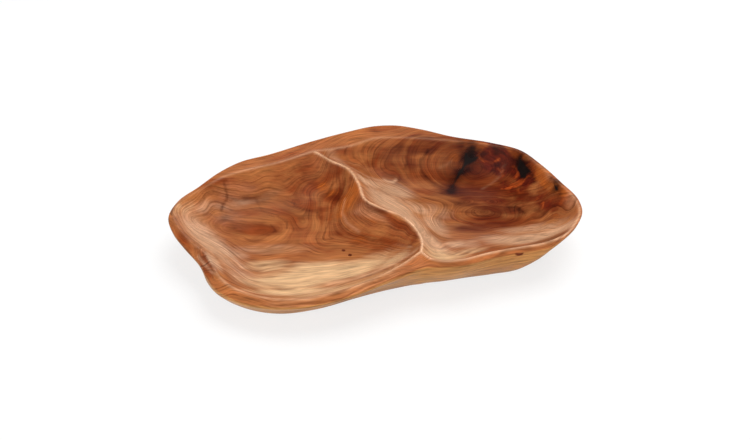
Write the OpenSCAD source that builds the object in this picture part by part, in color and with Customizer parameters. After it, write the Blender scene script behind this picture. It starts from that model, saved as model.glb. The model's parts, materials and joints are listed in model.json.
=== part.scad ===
// Divided serving bowl, carved by hand from one piece of root wood.
// Two basins share a rim, and a thin wandering divider is left standing between them.
// The dark dead knots are separate pieces, each seated in a pocket of the wood.
// X runs along the bowl, Y to the back and Z up. The flat foot stands on Z = 0.

/* [Bowl] */
// Length over the rim, from the left tip to the right tip
bowl_l = 400; // [330:5:460]
// Depth over the rim, from front to back
bowl_w = 250; // [210:2:290]
// Height of the highest point of the rim
bowl_h = 62; // [52:1:72]

/* [Rim and wall] */
// Length of the flat foot
foot_l = 290; // [240:5:330]
// Depth of the flat foot
foot_w = 168; // [130:2:190]
// Width of the rim's flat top where it is widest
rim_band = 20; // [14:0.5:24]
// How far the rim's top can roll up or down across its width
rim_roll = 10; // [6:0.5:12]
// Radius that the basin edges and the divider's crest are eased to
edge_ease = 2; // [1:0.25:3]

/* [Basins] */
// Height that the left basin's floor falls towards
left_floor_z = 13; // [10:0.5:18]
// Height that the right basin's floor falls towards
right_floor_z = 11; // [8:0.5:16]
// How far in the basins' walls run where they are gentlest
wall_run = 60; // [50:1:70]
// How far each basin's floor keeps falling below its walls
floor_dish = 4; // [2:0.5:8]
// Height of a soft spur that runs off the divider into the right basin
spur_h = 3; // [1:0.25:4]
// Width of that spur
spur_w = 9; // [6:0.5:14]

/* [Knots] */
// Length of the largest knot
long_knot_l = 46; // [36:1:48]
// Length of the round knot near the right rim
round_knot_l = 25; // [16:1:28]
// Length of the small knot under the right rim
rim_knot_l = 15; // [9:0.5:17]
// Length of the knot on the outer wall
wall_knot_l = 11; // [7:0.5:13]
// Length of each pin knot in the left basin
pin_knot_l = 5.5; // [4:0.5:8]
// Depth of the pockets that the larger knots sit in
knot_depth = 4.5; // [3:0.5:6]
// Depth of the pockets that the small knots sit in
pin_depth = 3; // [2:0.25:4]
// Gap round each knot in its pocket
knot_gap = 0.1; // [0.05:0.05:0.2]

/* [Hidden] */
wood = "#b5703f";
dark_wood = "#2b1a17";
red_wood = "#5a2a1c";

// How finely the shape is sampled
rim_steps = 4;
divider_steps = 5;
basin_rings = 13;
wall_rings = 12;
knot_steps = 2;
knot_rings = 3;

// Rim stations, counterclockwise from the divider's back end. Each row gives the place of the
// outer rim, the height of the basin's edge, how far in that edge lies, how far the rim's top
// rises outside it, how far the wall's belly leans in, the size of the foot, and how far the
// basin's wall runs in. The first five are shares of half the length, half the depth, the
// height, the band and the roll, the last is one of the walls' run, and two are plain shares.
rim_shares = [
    [-0.330,  0.865, 0.81, 0.65,  0.40, 0.05, 1.00, 0.62],
    [-0.525,  0.708, 0.79, 0.65,  0.40, 0.05, 1.00, 0.64],
    [-0.674,  0.616, 0.77, 0.60,  0.35, 0.05, 1.00, 0.66],
    [-0.773,  0.496, 0.76, 0.38,  0.16, 0.05, 1.00, 0.68],
    [-0.864,  0.330, 0.74, 0.22,  0.02, 0.05, 1.00, 0.72],
    [-0.952,  0.175, 0.73, 0.20, -0.14, 0.05, 1.02, 0.76],
    [-0.990, -0.035, 0.72, 0.24, -0.30, 0.06, 1.02, 0.80],
    [-0.962, -0.168, 0.71, 0.29, -0.50, 0.20, 0.96, 0.82],
    [-0.899, -0.332, 0.69, 0.30, -0.60, 0.35, 0.94, 0.84],
    [-0.821, -0.496, 0.68, 0.38, -0.90, 0.08, 1.00, 0.84],
    [-0.778, -0.660, 0.65, 0.42, -0.70, 0.05, 1.08, 0.82],
    [-0.735, -0.780, 0.63, 0.42, -0.60, 0.10, 1.08, 0.82],
    [-0.655, -0.880, 0.61, 0.38, -0.60, 0.15, 1.08, 0.84],
    [-0.492, -0.976, 0.61, 0.30, -0.55, 0.20, 1.04, 0.86],
    [-0.335, -1.000, 0.64, 0.26, -0.50, 0.28, 0.90, 0.90],
    [-0.138, -0.940, 0.70, 0.28, -0.45, 0.34, 0.76, 0.92],
    [ 0.070, -0.784, 0.77, 0.35, -0.40, 0.28, 0.76, 0.92],
    [ 0.150, -0.720, 0.79, 0.52, -0.40, 0.20, 0.75, 0.90],
    [ 0.230, -0.668, 0.81, 1.00, -0.40, 0.15, 0.75, 0.88],
    [ 0.262, -0.662, 0.81, 0.42, -0.40, 0.15, 0.74, 0.90],
    [ 0.305, -0.656, 0.81, 0.22, -0.40, 0.15, 0.70, 0.94],
    [ 0.395, -0.636, 0.80, 0.20, -0.40, 0.15, 0.68, 0.96],
    [ 0.540, -0.544, 0.79, 0.20, -0.40, 0.12, 0.76, 0.96],
    [ 0.680, -0.476, 0.78, 0.20, -0.35, 0.11, 0.81, 0.96],
    [ 0.825, -0.404, 0.78, 0.20, -0.35, 0.16, 0.83, 1.10],
    [ 0.898, -0.316, 0.79, 0.13,  0.00, 0.38, 0.84, 1.30],
    [ 0.960, -0.164, 0.80, 0.12,  0.00, 0.26, 0.90, 1.20],
    [ 0.988, -0.032, 0.82, 0.15, -0.05, 0.14, 0.92, 0.96],
    [ 0.977,  0.113, 0.84, 0.17, -0.05, 0.10, 0.94, 0.76],
    [ 0.907,  0.313, 0.86, 0.18,  0.00, 0.07, 0.96, 0.62],
    [ 0.817,  0.536, 0.89, 0.17,  0.00, 0.05, 1.00, 0.50],
    [ 0.724,  0.714, 0.91, 0.16,  0.00, 0.05, 1.00, 0.48],
    [ 0.579,  0.816, 0.91, 0.20,  0.05, 0.05, 1.00, 0.48],
    [ 0.380,  0.892, 0.92, 0.34,  0.15, 0.05, 1.00, 0.48],
    [ 0.228,  0.961, 0.94, 0.66,  0.35, 0.05, 1.00, 0.48],
    [ 0.101,  0.998, 0.95, 0.86,  0.45, 0.05, 1.00, 0.48],
    [ 0.000,  0.990, 0.94, 0.82,  0.50, 0.05, 1.00, 0.50],
    [-0.152,  0.957, 0.86, 1.00,  0.50, 0.05, 1.00, 0.56]
];
// The rim station that carries the divider's front end
divider_front = 18;

// Divider stations between its two ends, from back to front: place, height of the crest, and
// how far the walls below it run into the left and the right basin, as shares of their run
divider_shares = [
    [-0.225,  0.690, 0.74, 0.50, 0.60],
    [-0.130,  0.590, 0.70, 0.48, 0.74],
    [-0.085,  0.430, 0.68, 0.46, 0.84],
    [-0.045,  0.200, 0.68, 0.46, 0.88],
    [ 0.030,  0.092, 0.69, 0.46, 0.88],
    [ 0.122, -0.018, 0.71, 0.48, 0.86],
    [ 0.192, -0.205, 0.74, 0.50, 0.80],
    [ 0.218, -0.385, 0.77, 0.54, 0.70]
];

// The place in each basin that its rings close round
left_middle_shares = [-0.38, -0.15];
right_middle_shares = [0.32, 0.48];

// The spur, from the divider out over the right basin's floor
spur_shares = [[-0.12, 0.57], [-0.03, 0.49], [0.06, 0.44], [0.115, 0.44]];

// How hollow the walls are: 1 is a straight slope, more is a rounder basin
hollow = 2;
// How the rings crowd towards the edge
ring_bias = 1.35;
// How deep into a basin its floor goes on falling, as a share of the walls' run
dish_share = 0.8;

// Handles of the outer wall's section: the crown's share of the band and of the roll, how far
// below the corner the shoulder lies and its share of the run, the belly's share of the height,
// and the toe's share of the run left below the belly
crown_shares = [0.6, 0.75];
shoulder_shares = [0.5, 0.02];
belly_share = 0.55;
toe_share = 0.5;

// How often each ring of a basin is averaged with its neighbours, which rounds the corners
ring_softenings = 3;

// Where each knot lies: its surface (0 left basin, 1 right basin, 2 outer wall), how far round
// that surface's loop it is, and how far down its wall
long_knot_place = [1, 0.462, 0.345];
round_knot_place = [1, 0.398, 0.142];
rim_knot_place = [1, 0.349, 0.090];
wall_knot_place = [2, 0.603, 0.344];
upper_pin_place = [0, 0.714, 0.669];
lower_pin_place = [0, 0.681, 0.643];

// Each knot's outline, along the loop and down the wall, as shares of its length
long_knot_shares = [
    [0.08, -0.34], [0.02, -0.36], [-0.05, -0.25], [-0.13, -0.29], [-0.21, -0.34], [-0.23, -0.24],
    [-0.17, -0.12], [-0.09, -0.05], [-0.06, 0.09], [-0.05, 0.20], [-0.03, 0.38], [-0.04, 0.60],
    [0.07, 0.66], [0.12, 0.41], [0.12, 0.20], [0.08, 0.03], [0.06, -0.14]
];
round_knot_shares = [
    [0.48, -0.38], [0.29, -0.39], [0.05, -0.25], [-0.21, -0.20], [-0.51, -0.10], [-0.35, 0.12],
    [-0.40, 0.30], [-0.26, 0.42], [0.04, 0.31], [0.29, 0.14], [0.38, -0.11]
];
rim_knot_shares = [
    [0.62, -0.34], [0.19, -0.27], [-0.32, -0.07], [-0.49, 0.19], [-0.21, 0.23], [0.21, 0.05]
];
wall_knot_shares = [
    [-0.51, -0.15], [-0.28, -0.33], [0.07, -0.23], [0.50, -0.07], [0.48, 0.17], [0.13, 0.23],
    [-0.28, 0.12]
];
pin_knot_shares = [
    [0.15, 0.41], [0.50, -0.13], [0.30, -0.54], [-0.15, -0.41], [-0.49, 0.13], [-0.32, 0.47]
];

// One whole turn, the overrun of the cuts above the surface, an area too small to divide by, and
// the step that slopes are measured over, as a share of a loop or a wall
turn = 360;
cut_over = 12;
tiny = 0.001;
probe_share = 0.01;

// Smooth curves through rows of values, in steps that follow the rows' plan distances
function plan(p) = [p[0], p[1]];
function span(a, b) = norm(plan(b) - plan(a));
function slope(a, b, c) =
    let (u = span(a, b), v = span(b, c)) ((b - a) / u * v + (c - b) / v * u) / (u + v);
function between(a, b, c, d, t) =
    let (s = span(b, c), tt = t * t, ttt = tt * t)
    (2 * ttt - 3 * tt + 1) * b + (ttt - 2 * tt + t) * s * slope(a, b, c)
    + (3 * tt - 2 * ttt) * c + (ttt - tt) * s * slope(b, c, d);
function closed_curve(rows, steps) = [
    for (i = [0:len(rows) - 1], k = [0:steps - 1])
        let (n = len(rows))
        between(rows[(i + n - 1) % n], rows[i], rows[(i + 1) % n], rows[(i + 2) % n], k / steps)
];
function open_curve(rows, steps) =
    let (n = len(rows), r = concat([2 * rows[0] - rows[1]], rows, [2 * rows[n - 1] - rows[n - 2]]))
    [for (i = [1:n - 1], k = [0:steps - 1]) between(r[i - 1], r[i], r[i + 1], r[i + 2], k / steps)];

// The rim's rows in millimetres: x, y, z, band, roll, and the shares of lean, foot and wall
half = [bowl_l / 2, bowl_w / 2];
rim_rows = [
    for (s = rim_shares)
        [s[0] * half[0], s[1] * half[1], s[2] * bowl_h, s[3] * rim_band, s[4] * rim_roll, s[5], s[6], s[7]]
];
rim = closed_curve(rim_rows, rim_steps);
rim_n = len(rim);
front_i = divider_front * rim_steps;

// The basins' edges along the rim, one open curve for each basin, so that both of the
// divider's ends stay crisp: x, y, z, and the wall share twice
stations = len(rim_rows);
function edge_row(i) =
    let (
        p = rim_rows[i % stations],
        d = plan(slope(rim_rows[(i + stations - 1) % stations], p, rim_rows[(i + 1) % stations])),
        e = plan(p) - [d[1], -d[0]] / norm(d) * p[3]
    )
    [e[0], e[1], p[2], p[7], p[7]];
function edge_curve(first, last) = open_curve([for (i = [first:last]) edge_row(i)], rim_steps);
rim_edges = concat(edge_curve(0, divider_front), edge_curve(divider_front, stations));

// The divider's rows: x, y, z, left wall share, right wall share
divider_rows = concat(
    [rim_edges[0]],
    [for (s = divider_shares) [s[0] * half[0], s[1] * half[1], s[2] * bowl_h, s[3], s[4]]],
    [rim_edges[front_i]]
);
divider_all = open_curve(divider_rows, divider_steps);
divider_n = len(divider_all) - 1;
divider = [for (i = [1:divider_n]) divider_all[i]];

// Each basin's loop, counterclockwise, as numbers of points in the rim followed by the divider
left_ids = concat([for (i = [0:front_i]) i], [for (i = [divider_n - 1:-1:0]) rim_n + i]);
right_ids = concat(
    [for (i = [front_i:rim_n]) i % rim_n],
    [for (i = [0:divider_n - 1]) rim_n + i]
);
edge_rows = concat(rim_edges, divider);

function from_shares(s) = [s[0] * half[0], s[1] * half[1]];
left_middle = from_shares(left_middle_shares);
right_middle = from_shares(right_middle_shares);

// The spur's height over a point of the right basin
spur = [for (s = spur_shares) [s[0] * half[0], s[1] * half[1]]];
function off_line(p, a, b) =
    let (t = max(0, min(1, (p - a) * (b - a) / ((b - a) * (b - a))))) norm(p - a - t * (b - a));
function spur_rise(p) =
    let (d = min([for (i = [0:len(spur) - 2]) off_line(p, spur[i], spur[i + 1])]))
    spur_h * exp(-pow(2 * d / spur_w, 2));

// The foot's outline: the rim's, drawn in by each station's share, to the length and depth named
foot_raw = [for (p = rim) [p[0] * p[6], p[1] * p[6]]];
function reach(points, axis) = max([for (p = points) p[axis]]) - min([for (p = points) p[axis]]);
foot_scale = [foot_l / reach(foot_raw, 0), foot_w / reach(foot_raw, 1)];
foot = [for (p = foot_raw) [p[0] * foot_scale[0], p[1] * foot_scale[1]]];

// The outer wall's section: arcs over seven handles, from the basin's edge over the crown of
// the rim, its corner and shoulder, round the belly and the toe, and in to the foot
function handle(at, z) = [at[0], at[1], z];
function wall_handles(i) =
    let (p = rim[i], e = plan(edge_rows[i]), out = plan(p) - e, run = foot[i] - plan(p))
    [
        handle(e, edge_rows[i][2]),
        handle(e + out * crown_shares[0], p[2] + p[4] * crown_shares[1]),
        handle(plan(p), p[2] + p[4]),
        handle(plan(p) + run * shoulder_shares[1], p[2] + p[4] - rim_roll * shoulder_shares[0]),
        handle(plan(p) + run * p[5], p[2] * belly_share),
        handle(plan(p) + run * (p[5] + (1 - p[5]) * toe_share), 0),
        handle(foot[i], 0)
    ];
function arc(a, b, c, t) = a * (1 - t) * (1 - t) + b * 2 * t * (1 - t) + c * t * t;
function outer_point(i, f) =
    let (
        h = wall_handles(i), arcs = len(h) - 2, at = f * arcs, k = min(floor(at), arcs - 1),
        from = k == 0 ? h[0] : (h[k] + h[k + 1]) / 2,
        to = k == arcs - 1 ? h[k + 2] : (h[k + 1] + h[k + 2]) / 2
    )
    arc(from, h[k + 1], to, at - k);
outer_grid = [for (k = [0:wall_rings]) [for (i = [0:rim_n - 1]) outer_point(i, k / wall_rings)]];

// How much all the heights are stretched, so that the rim's highest point is as high as named
tall = bowl_h / max([for (ring = outer_grid, p = ring) p[2]]);

// A closed loop of places, with its corners rounded a little more each time
function eased_loop(rows) =
    let (n = len(rows))
    [for (i = [0:n - 1]) (rows[(i + n - 1) % n] + 2 * rows[i] + rows[(i + 1) % n]) / 4];
function soften(rows, times) = times == 0 ? rows : soften(eased_loop(rows), times - 1);

// The loop's pieces as seen from inside: both ends, and the height and the wall's run between
function pieces(ids, wall) = [
    for (i = [0:len(ids) - 1])
        let (a = edge_rows[ids[i]], b = edge_rows[ids[(i + 1) % len(ids)]])
        [plan(a), plan(b), (a[2] + b[2]) / 2, (a[wall] + b[wall]) / 2 * wall_run]
];
// How much a piece counts at a point: the angle that it spans there, over its distance
function weight(p, piece) =
    let (a = piece[0] - p, b = piece[1] - p, area = abs(cross(a, b)), l = norm(b - a))
    area > tiny ? atan2(area, a * b) * l / area : l / norm(a) / norm(b) * turn / 2 / PI;
function wall_fall(s) = s < 1 ? 1 - pow(1 - s, hollow) : 1;
// The height of a basin at a point: the edge round it, less the fall of the walls and the dish
function basin_z(p, loop, floor_z) =
    let (
        w = [for (piece = loop) weight(p, piece)],
        total = w * [for (piece = loop) 1],
        edge = w * [for (piece = loop) piece[2]] / total,
        run = w * [for (piece = loop) piece[3]] / total,
        depth = turn / 2 / total,
        eased = sqrt(depth * depth + edge_ease * edge_ease) - edge_ease,
        dish = floor_dish * (1 - pow(1 - min(1, eased / dish_share / wall_run), 2))
    )
    edge - (edge - floor_z - floor_dish) * wall_fall(eased / run) - dish;
function basin_point(from, middle, loop, floor_z, spurred, f) =
    let (
        at = from + (middle - from) * f,
        lift = spurred ? spur_rise(at) * min(1, norm(at - from) / spur_w) : 0
    )
    [at[0], at[1], basin_z(at, loop, floor_z) + lift];
function ring_share(k) = pow(k / basin_rings, ring_bias);
function ring_in(places, middle, loop, floor_z, spurred, k) =
    [for (p = places) basin_point(p, middle, loop, floor_z, spurred, ring_share(k))];
function rings_in(places, middle, loop, floor_z, spurred, k = 1) =
    k > basin_rings
        ? []
        : let (softer = soften(places, ring_softenings))
        concat(
            [ring_in(softer, middle, loop, floor_z, spurred, k)],
            rings_in(softer, middle, loop, floor_z, spurred, k + 1)
        );
function basin_grid(ids, middle, wall, floor_z, spurred) =
    concat(
        [[for (i = ids) [edge_rows[i][0], edge_rows[i][1], edge_rows[i][2]]]],
        rings_in([for (i = ids) plan(edge_rows[i])], middle, pieces(ids, wall), floor_z, spurred)
    );
left_grid = basin_grid(left_ids, left_middle, 3, left_floor_z / tall, false);
right_grid = basin_grid(right_ids, right_middle, 4, right_floor_z / tall, true);

// All the points of the solid: the edges, the two basins and the outer wall down to the foot
left_start = len(edge_rows);
right_start = left_start + (basin_rings - 1) * len(left_ids) + 1;
outer_start = right_start + (basin_rings - 1) * len(right_ids) + 1;
raw_points = concat(
    [for (e = edge_rows) [e[0], e[1], e[2]]],
    [for (k = [1:basin_rings - 1]) each left_grid[k]], [left_grid[basin_rings][0]],
    [for (k = [1:basin_rings - 1]) each right_grid[k]], [right_grid[basin_rings][0]],
    [for (k = [1:wall_rings]) each outer_grid[k]]
);

// Scaled in plan and moved, so that the bowl is as long and deep as named and stands centred
function spread(axis) = let (v = [for (p = raw_points) p[axis]]) [min(v), max(v)];
spread_x = spread(0);
spread_y = spread(1);
function placed(p) = [
    (p[0] - (spread_x[0] + spread_x[1]) / 2) * bowl_l / (spread_x[1] - spread_x[0]),
    (p[1] - (spread_y[0] + spread_y[1]) / 2) * bowl_w / (spread_y[1] - spread_y[0]),
    p[2] * tall
];

// Two triangles for each cell between one ring and the next
function cell(a, b, c, d) = [[a, d, c], [a, c, b]];
function ring_id(k, i, ids, start) = k == 0 ? ids[i % len(ids)] : start + (k - 1) * len(ids) + i % len(ids);
function basin_faces(ids, start) = concat(
    [
        for (k = [0:basin_rings - 2], i = [0:len(ids) - 1])
            each cell(
                ring_id(k, i, ids, start), ring_id(k, i + 1, ids, start),
                ring_id(k + 1, i + 1, ids, start), ring_id(k + 1, i, ids, start)
            )
    ],
    [
        for (i = [0:len(ids) - 1])
            [
                start + (basin_rings - 1) * len(ids),
                ring_id(basin_rings - 1, i + 1, ids, start),
                ring_id(basin_rings - 1, i, ids, start)
            ]
    ]
);
rim_ids = [for (i = [0:rim_n - 1]) i];
outer_faces = concat(
    [
        for (k = [0:wall_rings - 1], i = [0:rim_n - 1])
            each cell(
                ring_id(k + 1, i, rim_ids, outer_start), ring_id(k + 1, i + 1, rim_ids, outer_start),
                ring_id(k, i + 1, rim_ids, outer_start), ring_id(k, i, rim_ids, outer_start)
            )
    ],
    [[for (i = [0:rim_n - 1]) ring_id(wall_rings, i, rim_ids, outer_start)]]
);

module blank() {
    polyhedron(
        points = [for (p = raw_points) placed(p)],
        faces = concat(basin_faces(left_ids, left_start), basin_faces(right_ids, right_start), outer_faces)
    );
}

// The surface under a knot, at a place round the loop and down the wall
function skin(side, u, f) =
    let (
        grid = side == 0 ? left_grid : side == 1 ? right_grid : outer_grid,
        n = len(grid[0]), at = u * n, i = floor(at), s = at - i,
        down = f * (len(grid) - 1), k = floor(down), t = down - k,
        near = grid[k][i % n] * (1 - s) + grid[k][(i + 1) % n] * s,
        far = grid[k + 1][i % n] * (1 - s) + grid[k + 1][(i + 1) % n] * s
    )
    placed(near * (1 - t) + far * t);

// A knot: its place, its length, the depth of its pocket and its outline. Its own axes run
// along the loop, across it and out of the wood, and its origin lies on the surface.
long_knot_rows = [long_knot_place, long_knot_l, knot_depth, long_knot_shares];
round_knot_rows = [round_knot_place, round_knot_l, knot_depth, round_knot_shares];
rim_knot_rows = [rim_knot_place, rim_knot_l, pin_depth, rim_knot_shares];
wall_knot_rows = [wall_knot_place, wall_knot_l, pin_depth, wall_knot_shares];
upper_pin_rows = [upper_pin_place, pin_knot_l, pin_depth, pin_knot_shares];
lower_pin_rows = [lower_pin_place, pin_knot_l, pin_depth, pin_knot_shares];

function unit(v) = v / norm(v);
function per_share(q, axis) =
    let (step = axis == 0 ? [0, probe_share, 0] : [0, 0, probe_share], a = q - step, b = q + step)
    (skin(b[0], b[1], b[2]) - skin(a[0], a[1], a[2])) / 2 / probe_share;
function knot_axes(q) =
    let (
        along = unit(per_share(q, 0)),
        out = unit(cross(along, per_share(q, 1))),
        up = q[0] == 2 ? -out : out
    )
    [along, cross(up, along), up];
// The surface in the knot's own axes, at a place given in millimetres along the loop and down
function knot_skin(q, at) =
    let (
        axes = knot_axes(q),
        p = skin(q[0], q[1] + at[0] / norm(per_share(q, 0)), q[2] + at[1] / norm(per_share(q, 1)))
            - skin(q[0], q[1], q[2])
    )
    [p * axes[0], p * axes[1], p * axes[2]];
function knot_outline(knot) = closed_curve(knot[1] * knot[3], knot_steps);
function pocket_outline(knot) = [for (at = knot_outline(knot)) plan(knot_skin(knot[0], at))];

// Each point of a flat outline moved inwards by a gap
function sum_of(v) = v * [for (x = v) 1];
function turned(points) =
    let (n = len(points)) sign(sum_of([for (i = [0:n - 1]) cross(points[i], points[(i + 1) % n])]));
function drawn_in(points, gap) =
    let (n = len(points), way = turned(points))
    [
        for (i = [0:n - 1])
            let (d = unit(points[(i + 1) % n] - points[(i + n - 1) % n]))
            points[i] + [-d[1], d[0]] * way * gap
    ];

module at_knot(knot) {
    q = knot[0];
    a = knot_axes(q);
    o = skin(q[0], q[1], q[2]);
    multmatrix([
        [a[0][0], a[1][0], a[2][0], o[0]],
        [a[0][1], a[1][1], a[2][1], o[1]],
        [a[0][2], a[1][2], a[2][2], o[2]],
        [0, 0, 0, 1]
    ])
        children();
}

module pocket(knot) {
    at_knot(knot)
        translate([0, 0, -knot[2]])
            linear_extrude(knot[2] + cut_over)
                polygon(pocket_outline(knot));
}

// The knot itself: a flat bottom on the pocket's floor, plain sides, and the surface on top
module plug(knot) {
    flat = drawn_in(pocket_outline(knot), knot_gap);
    n = len(flat);
    outline = knot_outline(knot);
    top = [
        for (k = [knot_rings:-1:1], i = [0:n - 1])
            let (p = knot_skin(knot[0], outline[i] * k / knot_rings))
            k == knot_rings ? [flat[i][0], flat[i][1], p[2]] : p
    ];
    low = [for (p = flat) [p[0], p[1], -knot[2]]];
    points = concat(top, [knot_skin(knot[0], [0, 0])], low);
    middle = knot_rings * n;
    faces = concat(
        [
            for (k = [0:knot_rings - 2], i = [0:n - 1])
                each cell(k * n + i, k * n + (i + 1) % n, (k + 1) * n + (i + 1) % n, (k + 1) * n + i)
        ],
        [for (i = [0:n - 1]) [middle, (knot_rings - 1) * n + (i + 1) % n, (knot_rings - 1) * n + i]],
        [
            for (i = [0:n - 1])
                each cell(middle + 1 + i, middle + 1 + (i + 1) % n, (i + 1) % n, i)
        ],
        [[for (i = [0:n - 1]) middle + 1 + i]]
    );
    at_knot(knot)
        polyhedron(
            points = points,
            faces = turned(flat) > 0 ? faces : [for (f = faces) [for (i = [len(f) - 1:-1:0]) f[i]]]
        );
}

module carved_bowl() {
    color(wood)
        difference() {
            blank();
            pocket(long_knot_rows);
            pocket(round_knot_rows);
            pocket(rim_knot_rows);
            pocket(wall_knot_rows);
            pocket(upper_pin_rows);
            pocket(lower_pin_rows);
        }
}

module long_knot() {
    color(dark_wood) plug(long_knot_rows);
}

module round_knot() {
    color(dark_wood) plug(round_knot_rows);
}

module rim_knot() {
    color(dark_wood) plug(rim_knot_rows);
}

module wall_knot() {
    color(red_wood) plug(wall_knot_rows);
}

module upper_pin_knot() {
    color(red_wood) plug(upper_pin_rows);
}

module lower_pin_knot() {
    color(red_wood) plug(lower_pin_rows);
}

carved_bowl();
long_knot();
round_knot();
rim_knot();
wall_knot();
upper_pin_knot();
lower_pin_knot();
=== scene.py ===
# Divided serving bowl carved from one piece of root wood, dressed for a studio picture.
# X runs along the bowl, Y to the back and Z up. The foot stands on Z = 0.
import bpy
import bmesh
import json
import math
import numpy as np
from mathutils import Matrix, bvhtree, kdtree


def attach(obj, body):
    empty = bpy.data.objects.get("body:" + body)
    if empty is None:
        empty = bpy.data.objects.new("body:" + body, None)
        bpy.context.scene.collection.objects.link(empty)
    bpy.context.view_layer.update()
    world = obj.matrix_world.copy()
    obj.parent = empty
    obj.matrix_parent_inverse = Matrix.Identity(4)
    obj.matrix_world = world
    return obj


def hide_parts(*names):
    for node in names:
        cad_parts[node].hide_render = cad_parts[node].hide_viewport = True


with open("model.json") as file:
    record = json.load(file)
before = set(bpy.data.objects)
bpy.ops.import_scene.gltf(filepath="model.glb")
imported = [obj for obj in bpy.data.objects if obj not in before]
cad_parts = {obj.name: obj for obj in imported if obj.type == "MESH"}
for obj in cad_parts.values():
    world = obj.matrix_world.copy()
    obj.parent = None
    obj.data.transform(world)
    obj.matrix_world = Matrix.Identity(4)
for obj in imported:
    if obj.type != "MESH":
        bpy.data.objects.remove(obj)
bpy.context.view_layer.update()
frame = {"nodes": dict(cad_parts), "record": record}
print("frame loaded:", ", ".join(sorted(frame["nodes"])))

mm = 0.001
farOff = 1e9  # further than any distance that is compared
tiny = 1e-9  # keeps a division or a logarithm from zero

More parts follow.
